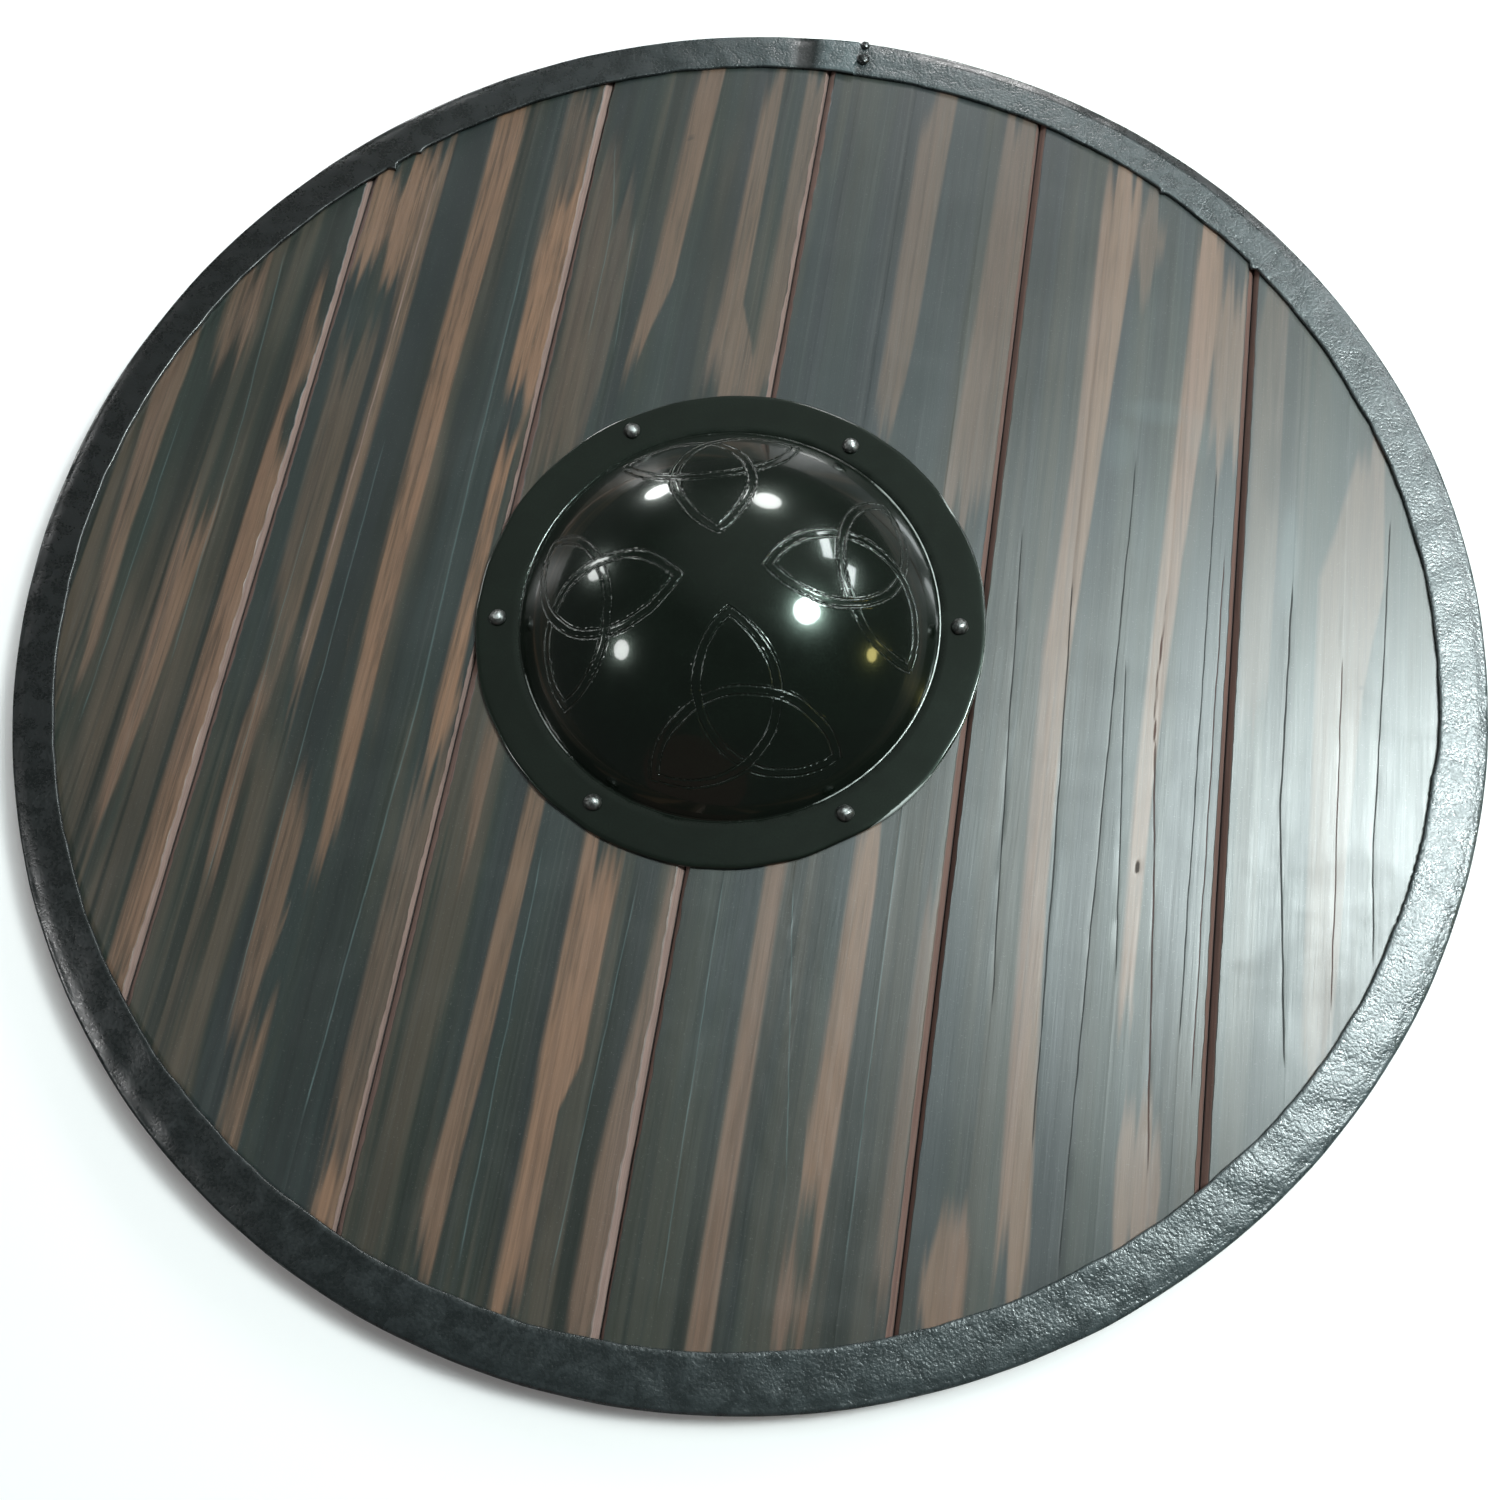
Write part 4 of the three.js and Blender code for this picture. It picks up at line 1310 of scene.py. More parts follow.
    def beaten(self, angles: np.ndarray, r: np.ndarray) -> np.ndarray:
        """Waves and dents that the hammer left in the upper band.

        Args:
            angles: places round the rim, in degrees.
            r: their radius.

        Returns:
            Heights in millimetres.
        """
        arc = np.radians(angles) * self.middle
        per_degree = 5.1  # millimetres of rim
        waves = 0.16 * ripple(arc, r, 21, 26.0, 18.0) + 0.12 * ripple(arc, r, 22, 90.0, 60.0)
        for at, reach, size, depth in self.dents:
            across = size * (2.2 if size > 5 else 1.0)
            away = np.hypot((angles - at) * per_degree / size, (r - reach) / across)
            waves = waves - depth * np.exp(-(away**2))
        return waves

    def mesh(self) -> tuple[np.ndarray, list, np.ndarray]:
        """Makes the folded ring.

        Returns:
            Its vertices, faces and how much of an edge each vertex is.
        """
        spread = np.linspace(-180, 180, self.steps, endpoint=False)
        near = self.lap + np.array([-0.04, 0.04, 0.15, 0.3])
        angles = np.sort(np.concatenate([spread[np.abs(spread - self.lap) > 0.22], near]))[:, None]
        radius, height, upper = self.profile()
        share = np.clip((self.outer - radius) / (self.outer - self.edge), 0, 1) ** 1.5
        lower_shift = 0.4 * wander(np.radians(angles) * self.edge, 17, 60.0)
        r = radius + share * np.where(upper > 0.7, self.inner_edge(angles) - self.edge, lower_shift)
        pull = np.exp(-(((angles - self.lap) / 1.2) ** 2)) * (upper > 0.5)
        theta = np.radians(angles + self.scallop(r) * pull)
        z = height + self.lift(angles, upper) + self.beaten(angles, r) * (upper > 0.7)
        arc = np.radians(angles) * self.middle
        r = r - 0.15 * (1 + wander(arc, 31, 120.0)) * (r > self.outer - 1)
        vertices = np.stack([r * np.cos(theta), r * np.sin(theta), z], -1).reshape(-1, 3)
        corner = np.exp(-(((radius - self.outer + 0.6) / 0.8) ** 2)) * (height > self.bottom + 3)
        inner_lip = np.exp(-(((radius - self.edge) / 0.5) ** 2)) * (height > self.bottom + 5) * 0.3
        mask = np.broadcast_to(np.maximum(corner, inner_lip), (len(angles), len(radius)))
        return vertices, loft_faces(len(angles), len(radius), True), mask.reshape(-1)

    def weld(self, reach: float, at: float, size: float, seed: int) -> tuple[np.ndarray, list]:
        """Makes a weld bead: a lumpy drop on the strip.

        Args:
            reach: its distance from the middle of the shield.
            at: its angle in degrees.
            size: its radius.
            seed: picks its lumps.

        Returns:
            Its vertices and faces.
        """
        work = bmesh.new()
        bmesh.ops.create_icosphere(work, subdivisions=4, radius=1.0)
        points = np.array([v.co[:] for v in work.verts])
        faces = [[v.index for v in face.verts] for face in work.faces]
        work.free()
        lumps = 1 + 0.1 * ripple(points[:, 0] * 10, points[:, 1] * 10 + points[:, 2] * 4, seed, 9.0, 9.0)
        points = points * lumps[:, None] * size * np.array([1.0, 1.0, 0.72])
        angle = math.radians(at)
        return points + np.array([reach * math.cos(angle), reach * math.sin(angle), self.top - 0.1]), faces

    def build(self) -> bpy.types.Object:
        """Makes the rim with its beads.

        Returns:
            The finished piece.
        """
        vertices, faces, mask = self.mesh()
        faces = [list(face) for face in faces]
        parts, masks = [vertices], [mask]
        for k, (reach, at, size) in enumerate(self.beads):
            points, bead_faces = self.weld(reach, at, size, 60 + k)
            base = sum(len(part) for part in parts)
            faces += [[i + base for i in face] for face in bead_faces]
            parts.append(points)
            masks.append(np.zeros(len(points)))
        piece = new_piece("rim_strip", np.vstack(parts), faces, self.finish.material(), 50)
        keep_mask(piece.data, "edge", np.concatenate(masks))
        on_strip = np.arange(len(piece.data.vertices)) < len(mask)
        # paler paint: painted sheen on the lit side, rubbed paint near the lap
        keep_mask(piece.data, "sheen_and_wear", self.sheen_and_wear(coordinates(piece.data)) * on_strip)
        settle(piece, "rim")
        return piece

    def sheen_and_wear(self, places: np.ndarray) -> np.ndarray:
        """How far the paint is paled: mostly a painted sheen on the lit right side, partly rubbed paint at
        the lap; the bevelled outer band at the upper right is kept dark as painted shade.

        Args:
            places: vertices in millimetres, n by 3.

        Returns:
            Shares from 0 to 1.
        """
        x, y, z = places.T
        turn = np.degrees(np.arctan2(y, x))
        sheen_and_wear = np.interp(turn, *zip(*self.sheen_and_wear_by_angle)) * (z > self.top - 2)
        # the outer bevel from 40° to 88° gets none of the painted sheen and stays dark, as painted shade
        bevel = np.clip(np.minimum(turn - 40, 88 - turn) / 8, 0, 1)
        return sheen_and_wear * (1 - bevel * np.clip((np.hypot(x, y) - self.outer + 6.5) / 2, 0, 1))


# ---------------------------------------------------------------- boss


@dataclass(frozen=True)
class Knot:
    """A trinity knot: three arcs from tip to tip, each drawn as two lines."""

    turn: float  # degrees; direction from the top of the dome
    reach: float = 60.0  # along the dome, from its top to the knot's centre
    tip: float = 42.5
    cross: float = 17.7
    strand: float = 3.4

    def lines(self, normals: np.ndarray, sphere: float) -> np.ndarray:
        """The distance of each point from the knot's nearest line.

        Args:
            normals: directions from the sphere's middle, n by 3.
            sphere: the dome's radius.

        Returns:
            Distances along the dome in millimetres.
        """
        u, v = self.spread(normals, sphere)
        hub_reach = self.tip - self.cross
        radius = math.sqrt(self.tip**2 - self.tip * hub_reach + hub_reach**2)
        nearest = np.full(len(u), 99.0)
        for k in range(3):
            lobe = math.pi - math.radians(120 * k)
            hub = self.polar(hub_reach, lobe - math.radians(60))
            over = self.polar(hub_reach, lobe + math.radians(60))
            under = self.polar(self.cross, lobe + math.pi)
            far = lobe + math.radians(120)
            off_over = np.abs(np.hypot(u - over[0], v - over[1]) - radius)
            hidden = (off_over < self.strand / 2) & (np.hypot(u - under[0], v - under[1]) < 3 * self.strand)
            around = np.arctan2(v - hub[1], u - hub[0]) - far
            around = np.abs((around + math.pi) % (2 * math.pi) - math.pi)
            away = np.hypot(u - hub[0], v - hub[1])
            for side in (-0.5, 0.5):
                line = radius + side * self.strand
                tip = (hub_reach + math.sqrt(4 * line**2 - 3 * hub_reach**2)) / 2
                sixty = math.radians(60)
                half = math.pi - math.atan2(tip * math.sin(sixty), tip * math.cos(sixty) - hub_reach)
                drawn = (around <= half) & ~hidden
                nearest = np.where(drawn, np.minimum(nearest, np.abs(away - line)), nearest)
        return nearest

    def spread(self, normals: np.ndarray, sphere: float) -> tuple[np.ndarray, np.ndarray]:
        """Lays points flat round the knot's centre.

        Args:
            normals: directions from the sphere's middle, n by 3.
            sphere: the dome's radius.

        Returns:
            Distances u away from the dome's top, and v to its left.
        """
        tilt, turn = self.reach / sphere, math.radians(self.turn)
        level = np.array([math.cos(turn), math.sin(turn), 0.0])
        up = np.array([0.0, 0.0, 1.0])
        middle = level * math.sin(tilt) + up * math.cos(tilt)
        outward = level * math.cos(tilt) - up * math.sin(tilt)
        sideways = np.cross(up, outward)
        sideways /= np.linalg.norm(sideways)
        swing = np.arccos(np.clip(normals @ middle, -1, 1)) * sphere
        bearing = np.arctan2(normals @ sideways, normals @ outward)
        return swing * np.cos(bearing), swing * np.sin(bearing)

    @staticmethod
    def polar(reach: float, angle: float) -> tuple[float, float]:
        """A point at a distance and an angle."""
        return reach * math.cos(angle), reach * math.sin(angle)


@dataclass
class Boss:
    """The domed boss with its crease, flange, hollow underside and engraved knots."""

    finish: PaintFinish
    knots: tuple[Knot, ...] = tuple(Knot(15.5 + 90 * k) for k in range(4))
    sheet: float = 1.5
    dome: float = 87.2  # radius of its foot
    cells: int = 64
    line_width: float = 0.8
    line_depth: float = 0.36
    crease_width: float = 1.2
    crease_depth: float = 0.32
    refinements: int = 3
    nicks_and_glints: tuple[tuple[float, float, float], ...] = (
        (37.0, 4.0, 1.8), (-8.0, 24.0, 1.0), (-40.0, 9.0, 0.9))  # angle, width in degrees, how bare; -8° and -40° bare the lit right edge as a painted highlight, 37° is a worn spot
    last_crease: int = 6  # the number of the crease's last ring
    last_edge: int = 20  # of the flange's outer edge
    last_flange: int = 24  # of the flange's underside

    def __post_init__(self) -> None:
        """Takes the boss's place from its solid and works out the dome's sphere."""
        low, high = node_box("boss")
        self.centre = np.array([(low.x + high.x) / 2, (low.y + high.y) / 2, 0.0])
        self.flange = (high.x - low.x) / 2
        self.flange_top = low.z + self.sheet
        rise = high.z - 0.15 - self.flange_top
        self.sphere = (self.dome**2 + rise**2) / (2 * rise)
        self.middle = self.flange_top + rise - self.sphere
        self.reach = self.sphere * math.asin(self.dome / self.sphere) - 0.35

    def rings(self) -> list[tuple[float, float]]:
        """The profile past the dome's foot, round to the hollow's top.

        Returns:
            Radius and height of each ring.
        """
        top, edge = self.flange_top, self.flange
        groove = ((0.12, 0.55), (0.3, 0.95), (0.5, 1.0), (0.68, 0.9), (0.86, 0.3), (1.0, 0.0))
        points = [(self.dome, top)]
        points += [(self.dome + self.crease_width * t, top - self.crease_depth * deep) for t, deep in groove]
        points += [(r, top) for r in np.linspace(self.dome + 4, edge - 2.2, 7)]
        points += [(edge - 1.0, top - 0.05), (edge - 0.35, top - 0.25)]
        points += [(edge, top - 0.7), (edge - 0.2, top - 1.3)]
        points += [(edge - 0.7, top - self.sheet)]
        points += [(r, top - self.sheet) for r in np.linspace(edge - 5, self.dome + 3, 4)]
        inner = self.sphere - self.sheet
        start = math.acos((top - self.sheet - self.middle) / inner)
        turn = np.linspace(start, 0.02, 24)
        points += [(inner * math.sin(a), self.middle + inner * math.cos(a)) for a in turn]
        return points

    def disc(self) -> np.ndarray:
        """A square grid of points pressed into the disc that the dome makes when laid flat.

        Returns:
            Places in millimetres, n by 3.
        """
        side = np.linspace(-1, 1, self.cells + 1)
        a, b = np.meshgrid(side, side, indexing="ij")
        long = np.maximum(np.abs(a), np.abs(b))
        sideways = np.abs(a) >= np.abs(b)
        wide = np.where(sideways, np.arctan2(b, np.abs(a)), np.arctan2(a, np.abs(b)))
        x = np.where(sideways, np.sign(a) * long * np.cos(wide), long * np.sin(wide))
        y = np.where(sideways, long * np.sin(wide), np.sign(b) * long * np.cos(wide))
        return np.stack([x * self.reach, y * self.reach, np.zeros_like(x)], -1).reshape(-1, 3)

    def flat_mesh(self) -> bmesh.types.BMesh:
        """The outside laid flat: the disc, then the rings past it.

        Returns:
            The mesh, whose vertices past the dome's foot hold their ring's number as z.
        """
        n = self.cells
        points = [tuple(point) for point in self.disc().tolist()]

        def number(i: int, j: int) -> int:
            """The number of a point of the grid."""
            return i * (n + 1) + j

        faces = [(number(i, j), number(i + 1, j), number(i + 1, j + 1), number(i, j + 1))
                 for i in range(n) for j in range(n)]
        border = [number(i, 0) for i in range(n)] + [number(n, j) for j in range(n)]
        border += [number(i, n) for i in range(n, 0, -1)] + [number(0, j) for j in range(n, 0, -1)]
        loop = border
        for ring in range(1, len(self.rings()) + 1):
            base = len(points)
            points += [(points[i][0], points[i][1], float(ring)) for i in border]
            fresh = list(range(base, base + len(border)))
            faces += [(loop[i], fresh[i], fresh[(i + 1) % len(fresh)], loop[(i + 1) % len(loop)])
                      for i in range(len(border))]
            loop = fresh
        faces.append(tuple(loop))
        work = bmesh.new()
        corners = [work.verts.new(point) for point in points]
        for face in faces:
            work.faces.new([corners[i] for i in face])
        return work

    def refine(self, work: bmesh.types.BMesh) -> None:
        """Splits the faces along the engraved lines, finer and finer.

        Args:
            work: the outside laid flat.
        """
        size = 2 * self.reach / self.cells
        for _ in range(self.refinements):
            work.verts.index_update()
            flat = np.array([v.co[:] for v in work.verts])
            close = self.distance(flat) < self.line_width + 0.75 * size
            close &= flat[:, 2] == 0
            faces = [f for f in work.faces if any(close[v.index] for v in f.verts) and f.verts[0].co.z == 0]
            edges = list({edge for face in faces for edge in face.edges})
            bmesh.ops.subdivide_edges(work, edges=edges, cuts=1, use_grid_fill=True)
            size /= 2

    def normals_of(self, flat: np.ndarray) -> np.ndarray:
        """Bends points laid flat back round the dome.

        Args:
            flat: the points, n by 3.

        Returns:
            Their directions from the sphere's middle, n by 3.
        """
        reach = np.hypot(flat[:, 0], flat[:, 1])
        around = np.arctan2(flat[:, 1], flat[:, 0])
        tilt = reach / self.sphere
        return np.stack([np.sin(tilt) * np.cos(around), np.sin(tilt) * np.sin(around), np.cos(tilt)], -1)

    def distance(self, flat: np.ndarray) -> np.ndarray:
        """How far points are from the engraving, which an unsteady hand drew.

        Args:
            flat: the points laid flat, n by 3.

        Returns:
            Distances from the nearest line in millimetres.
        """
        shaken = flat[:, :2].copy()
        shaken[:, 0] += 0.35 * ripple(flat[:, 0], flat[:, 1], 71, 24.0, 24.0)
        shaken[:, 1] += 0.35 * ripple(flat[:, 0], flat[:, 1], 72, 24.0, 24.0)
        normals = self.normals_of(shaken)
        return np.min([knot.lines(normals, self.sphere) for knot in self.knots], axis=0)

    def relief(self, flat: np.ndarray) -> np.ndarray:
        """The engraving's depth, with a burr beside each line.

        Args:
            flat: the points laid flat, n by 3.

        Returns:
            Heights over the sphere in millimetres.
        """
        away = self.distance(flat)
        half = self.line_width / 2
        pressure = 0.85 + 0.25 * ripple(flat[:, 0], flat[:, 1], 73, 15.0, 15.0)
        pressure = pressure + 0.25 * ripple(flat[:, 0], flat[:, 1], 75, 3.5, 3.5)
        cut = -self.line_depth * pressure * np.clip(1 - (away / half) ** 2, 0, 1)
        burr = 0.08 * (1 + ripple(flat[:, 0], flat[:, 1], 76, 4.0, 4.0))
        burr = burr * np.exp(-(((away - half - 0.25) / 0.22) ** 2))
        return cut + burr + 0.06 * ripple(flat[:, 0], flat[:, 1], 74, 60.0, 60.0)

    def ring_places(self, flat: np.ndarray) -> tuple[np.ndarray, np.ndarray, np.ndarray]:
        """Where the points past the dome's foot lie, on a flange that isn't quite true.

        Args:
            flat: the points laid flat, n by 3.

        Returns:
            Ring numbers (0 on the dome), radii and heights.
        """
        number = flat[:, 2].round().astype(int)
        around = np.arctan2(flat[:, 1], flat[:, 0])
        radius, level = np.array([(self.dome, self.flange_top), *self.rings()])[number].T
        in_crease = (number > 1) & (number <= self.last_crease)
        level = level + 0.12 * in_crease * wander(around * 88, 83, 6.0)
        outward = np.clip((radius - 92) / 15, 0, 1) * (number > 0) * (number <= self.last_flange)
        radius = radius - 0.5 * outward * (1 + wander(around * 107, 81, 110.0))
        level = level + 0.22 * outward * wander(around * 107, 82, 130.0)
        return number, radius, level

    def build(self) -> bpy.types.Object:
        """Makes the boss.

        Returns:
            The finished piece.
        """
        work = self.flat_mesh()
        self.refine(work)
        work.verts.index_update()
        flat = np.array([v.co[:] for v in work.verts])
        faces = [[v.index for v in face.verts] for face in work.faces]
        work.free()
        on_dome = flat[:, 2] == 0
        height = self.sphere + np.where(on_dome, self.relief(flat), 0)
        dome = self.normals_of(flat) * height[:, None] + np.array([0, 0, self.middle])
        around = np.arctan2(flat[:, 1], flat[:, 0])
        _, radius, level = self.ring_places(flat)
        rings = np.stack([radius * np.cos(around), radius * np.sin(around), level], -1)
        vertices = np.where(on_dome[:, None], dome, rings) + self.centre
        piece = new_piece("boss_shell", vertices, faces, self.finish.material(), 55)
        self.smooth_dome(piece.data, flat, on_dome)
        self.dress(piece.data, flat, on_dome)
        settle(piece, "boss")
        return piece

    def dress(self, mesh: bpy.types.Mesh, flat: np.ndarray, on_dome: np.ndarray) -> None:
        """Keeps the masks that the paint reads: cut lines, rubbed edges, bare metal laid where glints show
        as painted highlight, and satin flange.

        Args:
            mesh: the finished boss.
            flat: its points laid flat, n by 3.
            on_dome: which of them are on the dome.
        """
        number, radius, _ = self.ring_places(flat)
        away = np.where(on_dome, self.distance(flat), 99)
        line = np.clip(1.15 - away / (self.line_width * 0.5), 0, 1)
        crease = np.where((number > 0) & (number <= self.last_crease), 0.75, 0.0)
        keep_mask(mesh, "line", np.maximum(line, crease))
        degrees = np.degrees(np.arctan2(flat[:, 1], flat[:, 0]))
        at_edge = (number > 0) & (number <= self.last_edge)
        edge = np.exp(-(((radius - self.flange) / 0.9) ** 2)) * at_edge
        for at, wide, amount in self.nicks_and_glints:
            near = ((degrees - at) / wide) ** 2 + ((radius - self.flange) / 2.2) ** 2
            edge = edge + amount * np.exp(-near) * at_edge
        # painted highlight: the crease at the dome's foot is bared to bright metal, fully on the lit right
        # side and at the lower left, sparsely elsewhere
        foot = np.clip(np.minimum(degrees + 62, 58 - degrees) / 12, 0, 1)
        foot = np.maximum(foot, np.clip(np.minimum(degrees + 158, -128 - degrees) / 8, 0, 1))
        edge = np.maximum(edge, (0.88 + 0.6 * foot) * (number > 1) * (number < 5))
        keep_mask(mesh, "edge", edge)
        keep_mask(mesh, "satin", np.clip((number - self.last_crease) / 2, 0, 1))

    def smooth_dome(self, mesh: bpy.types.Mesh, flat: np.ndarray, on_dome: np.ndarray) -> None:
        """Gives the dome the exact normals of its engraved sphere.

        Args:
            mesh: the finished boss.
            flat: its points laid flat, n by 3.
            on_dome: which of them are on the dome.
        """
        step = 0.12
        normals = self.normals_of(flat)
        across = self.normals_of(flat + np.array([step, 0, 0])) * self.sphere
        along = self.normals_of(flat + np.array([0, step, 0])) * self.sphere
        here = self.relief(flat)
        side_x = self.relief(flat + np.array([step, 0, 0])) - here
        side_y = self.relief(flat + np.array([0, step, 0])) - here
        run_x = across - normals * self.sphere + normals * side_x[:, None]
        run_y = along - normals * self.sphere + normals * side_y[:, None]
        exact = np.cross(run_x, run_y)
        exact /= np.linalg.norm(exact, axis=1)[:, None]
        own = np.empty(3 * len(mesh.vertices))
        mesh.vertices.foreach_get("normal", own)
        mixed = np.where(on_dome[:, None], exact, own.reshape(-1, 3))
        mesh.normals_split_custom_set_from_vertices(mixed.tolist())


# ---------------------------------------------------------------- rivets


@dataclass
class Rivet:
    """A small domed rivet with its shank and hammered tail."""

    number: int
    sides: int = 40
    shank: float = 2.0
    rise: float = 2.7  # height of the domed head

    def profile(self, head: float, tail: float, seat: float) -> np.ndarray:
        """The section from the tail up to the top of the head.

        Args:
            head: the head's radius.
            tail: height of the tail's underside.
            seat: height of the head's underside.

        Returns:
            Radius and height of each point.
        """
        points = [(0.01, tail), (2.0, tail), (2.8, tail + 0.25), (3.1, tail + 0.7), (3.0, tail + 1.2)]
        points += [(self.shank, tail + 1.2), (self.shank, seat)]
        points += [(head - 0.25, seat), (head, seat + 0.25)]
        turn = np.radians(np.linspace(12, 90, 12))
        points += [(max(head * math.cos(a), 0.01), seat + self.rise * math.sin(a)) for a in turn]
        return np.array(points)

    def build(self, material: bpy.types.Material) -> bpy.types.Object:
        """Makes the rivet where its solid is.

        Args:
            material: the steel.

        Returns:
            The finished piece.
        """
        low, high = node_box(f"rivet_{self.number}")
        middle = (low + high) / 2
        seat = high.z - self.rise
        radius, height = self.profile((high.x - low.x) / 2, low.z, seat).T
        around = np.linspace(0, 2 * math.pi, self.sides, endpoint=False)[:, None]
        seed = 100 + self.number
        r = radius * (1 + 0.035 * wander(around * 10, seed, 30.0) * (height > seat))
        x, y = r * np.cos(around), r * np.sin(around)
        dent = 0.14 * ripple(x, y, seed, 6.0, 6.0) * np.clip((height - seat - 0.5) / 1.5, 0, 1)
        vertices = np.stack([x + middle.x, y + middle.y, height - np.abs(dent)], -1).reshape(-1, 3)
        columns = len(radius)
        faces = [face for face in map(list, loft_faces(self.sides, columns, True))
                 if not (face[0] % columns == columns - 1 or face[1] % columns == 0)]
        for end in (0, columns - 1):
            faces.append([k * columns + end for k in range(self.sides)])
        piece = new_piece(f"rivet_head_{self.number}", vertices, faces, material, 60)
        keep_mask(piece.data, "edge", np.clip((vertices[:, 2] - seat - 1.2) / 1.4, 0, 1))
        settle(piece, f"rivet_{self.number}")
        return piece


# ---------------------------------------------------------------- grip


@dataclass
class Grip:
    """The wooden bar across the back, swelling into the hand hole."""

    finish: GripFinish
    length: float = 224.0
    width: float = 27.0
    waist: float = 24.0
    end: float = 4.7
    rise: float = 20.0
    shoulder: tuple[float, float] = (38.0, 56.0)  # where the swelling ends, from the bar's middle
    corner: float = 9.0
    sections: int = 150
    sink: float = 3.9  # radius of the hollows for the rivets' tails

    def sections_along(self) -> tuple[np.ndarray, np.ndarray, np.ndarray]:
        """Where the bar's sections are and how big.

        Returns:
            Places along the bar from its middle, widths and thicknesses.
        """
        half = self.length / 2
        along = half * np.sin(np.linspace(-math.pi / 2, math.pi / 2, self.sections))
        along = 0.5 * along + 0.5 * np.linspace(-half, half, self.sections)
        away = np.abs(along)
        ease = np.clip((self.shoulder[1] - away) / (self.shoulder[1] - self.shoulder[0]), 0, 1)
        thick = self.end + (self.rise - self.end) * ease * ease * (3 - 2 * ease)
        wide = self.width - (self.width - self.waist) * (1 - (along / half) ** 2)
        from_end = np.clip(half - away, 0, self.corner)
        round_off = self.corner - np.sqrt(np.maximum(self.corner**2 - (self.corner - from_end) ** 2, 0))
        return along, np.maximum(wide - 2 * round_off, 1.0), thick

    def section(self, at: float, wide: float, thick: float, angles: np.ndarray) -> np.ndarray:
        """One section: rounded above, flat below.

        Args:
            at: its place along the bar.
            wide: its width.
            thick: its thickness.
            angles: directions of its points from its middle.

        Returns:
            Places in millimetres, n by 3.
        """
        power = 0.28 if thick < 8 else 0.5
        y = np.sign(np.cos(angles)) * np.abs(np.cos(angles)) ** power * wide / 2
        lift = np.sign(np.sin(angles)) * np.abs(np.sin(angles)) ** power
        below = 0.5 * thick * (1 + np.maximum(lift * 1.6, -1))
        z = np.where(lift < 0, below, 0.5 * thick * (1 + lift))
        return np.stack([np.full_like(y, at), y, z], -1)

    def build(self, rivets: list[Vector]) -> bpy.types.Object:
        """Makes the grip between its two rivets.

        Args:
            rivets: the middles of the right and the left rivet.

        Returns:
            The finished piece.
        """
        right, left = rivets
        turn = math.atan2(right.y - left.y, right.x - left.x)
        middle = (right + left) / 2
        angles = np.linspace(0, 2 * math.pi, 48, endpoint=False)
        grid = np.array([self.section(*sizes, angles) for sizes in zip(*self.sections_along())])
        grid[:, :, 1] += 0.15 * ripple(grid[:, :, 0], grid[:, :, 2], 91, 60.0, 30.0)
        vertices = grid.reshape(-1, 3)
        spin = np.array([[math.cos(turn), -math.sin(turn)], [math.sin(turn), math.cos(turn)]])
        vertices[:, :2] = vertices[:, :2] @ spin.T + np.array([middle.x, middle.y])
        vertices[:, 2] = np.clip(vertices[:, 2], 0, None)
        columns = len(angles)
        faces = [list(face) for face in loft_faces(self.sections, columns, False)]
        faces += [list(range(columns)), [(self.sections - 1) * columns + k for k in range(columns)]]
        piece = new_piece("grip_bar", vertices, faces, self.finish.material(), 45)
        sinks = [(r.x, r.y, self.sink, -1.0, 1.8) for r in rivets]
        cut_away(piece, sinks + [(r.x, r.y, RIVET_HOLE, 0.5, 8.0) for r in rivets])
        settle(piece, "grip")
        return piece


# ---------------------------------------------------------------- studio


@dataclass(frozen=True)
class Softbox:
    """A disc or pane of soft light that points at the shield."""

    name: str
    place: tuple[float, float, float]  # metres
    size: float
    power: float
    tone: tuple[float, float, float] = (1.0, 1.0, 1.0)
    shown: bool = True  # whether gloss mirrors it
    tall: float = 0.0  # a pane's height; a disc has none
    boss: bool = True  # whether it lights the boss
    roll: float = 0.0  # a pane's turn about its own axis, in degrees

    def build(self, boss: bpy.types.Object) -> None:
        """Hangs the light.

        Args:
            boss: the piece that the light may have to leave dark.
        """
        data = bpy.data.lights.new(self.name, "AREA")
        data.shape = "RECTANGLE" if self.tall else "DISK"
        data.size = self.size
        if self.tall:
            data.size_y = self.tall
        data.energy = self.power
        data.color = self.tone
        lamp = bpy.data.objects.new(self.name, data)
        lamp.location = self.place
        lamp.visible_glossy = self.shown
        if not self.boss:
            spared = bpy.data.collections.new(f"spared_{self.name}")
            spared.objects.link(boss)
            spared.collection_objects[0].light_linking.link_state = "EXCLUDE"
            lamp.light_linking.receiver_collection = spared
        aim = (-Vector(self.place)).to_track_quat("-Z", "Y").to_matrix()
        lamp.rotation_euler = (aim @ Matrix.Rotation(math.radians(self.roll), 3, "Z")).to_euler()
        bpy.context.scene.collection.objects.link(lamp)


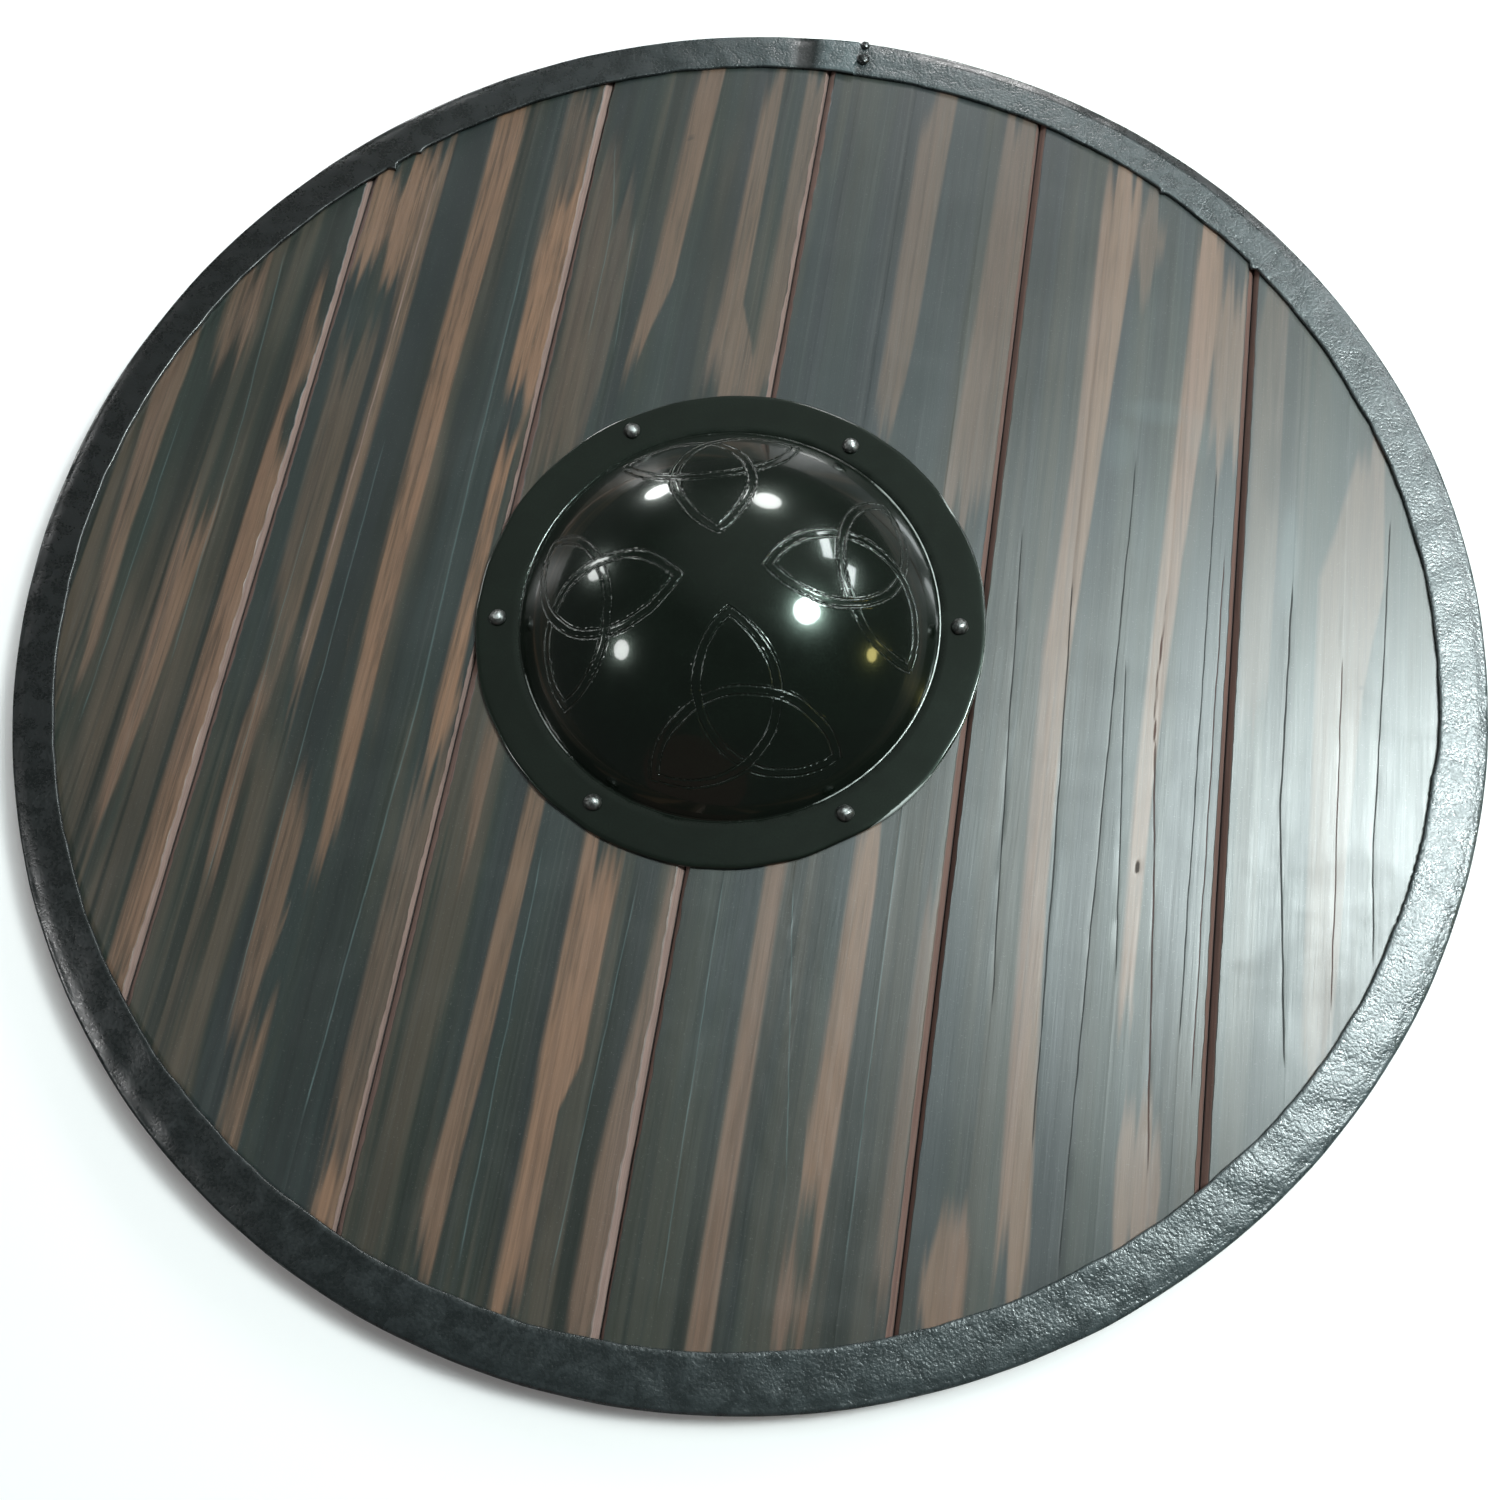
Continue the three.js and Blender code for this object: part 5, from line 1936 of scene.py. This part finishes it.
@dataclass
class Studio:
    """A pale floor, soft lights and the camera."""

    camera_place: tuple[float, float, float] = (0.0577, -0.2178, 0.5256)
    camera_target: tuple[float, float, float] = (0.0148, -0.0592, 0.015)
    camera_roll: float = 6.12  # degrees
    lens: float = 31.84
    floor_reach: float = 6000.0  # millimetres
    bright_side: tuple[float, float, float] = (0.1, 0.6, 0.79)  # where the room is lightest
    dim: Colour = (0.07, 0.076, 0.075, 1.0)
    bright: Colour = (0.25, 0.27, 0.262, 1.0)
    backdrop: Colour = (0.85, 0.86, 0.86, 1.0)
    softboxes: tuple[Softbox, ...] = (
        Softbox("key", (0.97, 0.42, 1.57), 0.85, 9.0, (0.87, 1.0, 1.0), boss=False),
        Softbox("key_middle", (1.04, 0.37, 1.55), 0.4, 14.0, (0.88, 1.0, 1.0)),
        Softbox("key_core", (1.14, 0.41, 1.53), 0.28, 10.5, (0.9, 1.0, 1.0)),
        Softbox("pane_left", (0.97, 1.41, 0.96), 0.44, 3.4, (0.93, 0.98, 1.0), tall=0.15, roll=-35.0),
        Softbox("pane_right", (1.38, 1.04, 0.91), 0.44, 3.4, (0.93, 0.98, 1.0), tall=0.15, roll=-35.0),
        Softbox("top", (0.12, 1.75, 0.8), 0.34, 4.5),
        Softbox("top_left", (-1.0, 1.55, 0.3), 0.3, 3.5),
        Softbox("left", (-1.65, 0.7, 0.6), 0.34, 3.0),
        Softbox("low_left", (-1.25, -0.4, 1.0), 0.24, 2.2),
        Softbox("lamp", (1.8, 0.15, 0.65), 0.18, 0.9, (1.0, 0.85, 0.3)),
        Softbox("ember", (-0.3, -2.3, 0.5), 1.9, 0.5, (1.0, 0.16, 0.13)),
        Softbox("fill", (-0.6, -1.0, 2.2), 1.2, 3.0, shown=False),
        Softbox("ceiling", (0.56, 0.58, 1.75), 0.9, 10.5, (0.86, 1.0, 1.0), boss=False),
        Softbox("north", (0.2, 2.2, 1.9), 1.7, 2.2, (0.9, 0.97, 1.0), boss=False),
    )

    def build(self, boss: bpy.types.Object) -> None:
        """Sets the studio up round the shield.

        Args:
            boss: the piece that some lights leave dark.
        """
        self.floor()
        self.world()
        for softbox in self.softboxes:
            softbox.build(boss)
        self.camera()
        bpy.context.scene.view_settings.view_transform = "Standard"

    def floor(self) -> None:
        """Lays a pale floor that isn't part of the shield; far off it glows so as not to turn dark."""
        material, g, skin = new_material("floor_pale")
        cloud = g.noise(g.place(), 3.0, 3.0)
        g.feed(skin.inputs["Base Color"], g.blend(cloud, (0.97, 0.94, 0.935, 1), (0.99, 0.96, 0.955, 1)))
        skin.inputs["Roughness"].default_value = 0.9
        far = g.add("VectorMath", {0: g.place()}, operation="LENGTH").outputs["Value"]
        glow = g.math("MULTIPLY", g.between(far, 0.8, 3.2), g.add("LightPath").outputs["Is Camera Ray"])
        g.feed(skin.inputs["Emission Color"], g.blend(glow, (0, 0, 0, 1), (0.8, 0.81, 0.81, 1)))
        skin.inputs["Emission Strength"].default_value = 1.0
        reach = self.floor_reach
        corners = [(-reach, -reach, 0), (reach, -reach, 0), (reach, reach, 0), (-reach, reach, 0)]
        floor = new_piece("floor", np.array(corners), [[0, 1, 2, 3]], material)
        floor.visible_glossy = False

    def world(self) -> None:
        """Makes a dim room, lighter on one side and pale where the camera looks straight at it."""
        world = bpy.data.worlds.new("room")
        world.use_nodes = True
        bpy.context.scene.world = world
        g = Graph(world.node_tree)
        back = world.node_tree.nodes["Background"]
        seen = g.add("LightPath").outputs["Is Camera Ray"]
        sides = {0: g.add("TexCoord").outputs["Generated"], 1: self.bright_side}
        towards = g.add("VectorMath", sides, operation="DOT_PRODUCT").outputs["Value"]
        room = g.blend(g.between(towards, 0.68, 1.0), self.dim, self.bright)
        g.feed(back.inputs["Color"], g.blend(seen, room, self.backdrop))

    def camera(self) -> None:
        """Places the camera and rolls it."""
        data = bpy.data.cameras.new("camera")
        data.lens = self.lens
        data.clip_start = 0.01
        camera = bpy.data.objects.new("camera", data)
        place = Vector(self.camera_place)
        look = (Vector(self.camera_target) - place).to_track_quat("-Z", "Y").to_matrix().to_4x4()
        roll = Matrix.Rotation(math.radians(-self.camera_roll), 4, "Z")
        camera.matrix_world = Matrix.Translation(place) @ look @ roll
        bpy.context.scene.collection.objects.link(camera)
        bpy.context.scene.camera = camera


def main() -> None:
    """Builds the shield's pieces in order, then the studio."""
    logging.basicConfig(level=logging.INFO, format="%(name)s: %(message)s")
    for make in (make_wood_grain, make_open_stain, make_beaten_skin, make_edge_wear, make_dust):
        make()
    boss = Boss(PaintFinish(
        "boss_steel", paint=shade(12, 19, 13), cloudy=shade(17, 26, 19), metal=shade(185, 192, 188),
        roughness=0.18, spread=0.02, grains=1300.0, clouds=60.0, dent=0.00003, wear=0.3, level=0.36,
        dust=0.03, gloss=0.85, sheen=(0.78, 1.0, 0.85, 1.0)))
    rim = Rim(PaintFinish(
        "rim_steel", paint=shade(4, 8, 8), cloudy=shade(10, 16, 17), metal=shade(120, 128, 128),
        roughness=0.22, spread=0.08, grains=800.0, clouds=120.0, dent=0.0006, wear=0.3, level=1.0,
        even=0.25))
    rivets = [sum(node_box(f"rivet_{number}"), Vector()) / 2 for number in range(1, 7)]
    below, above = 3.0, 18.0
    holes = [(r.x, r.y, RIVET_HOLE, below, above) for r in rivets]
    holes.append((boss.centre[0], boss.centre[1], HAND_HOLE, below, above))
    for board in make_boards():
        board.build(holes)
    rim.build()
    shell = boss.build()
    steel = SteelFinish().material()
    for number in range(1, 7):
        Rivet(number).build(steel)
    Grip(GripFinish()).build([rivets[0], rivets[3]])
    Studio().build(shell)


if __name__ == "__main__":
    main()
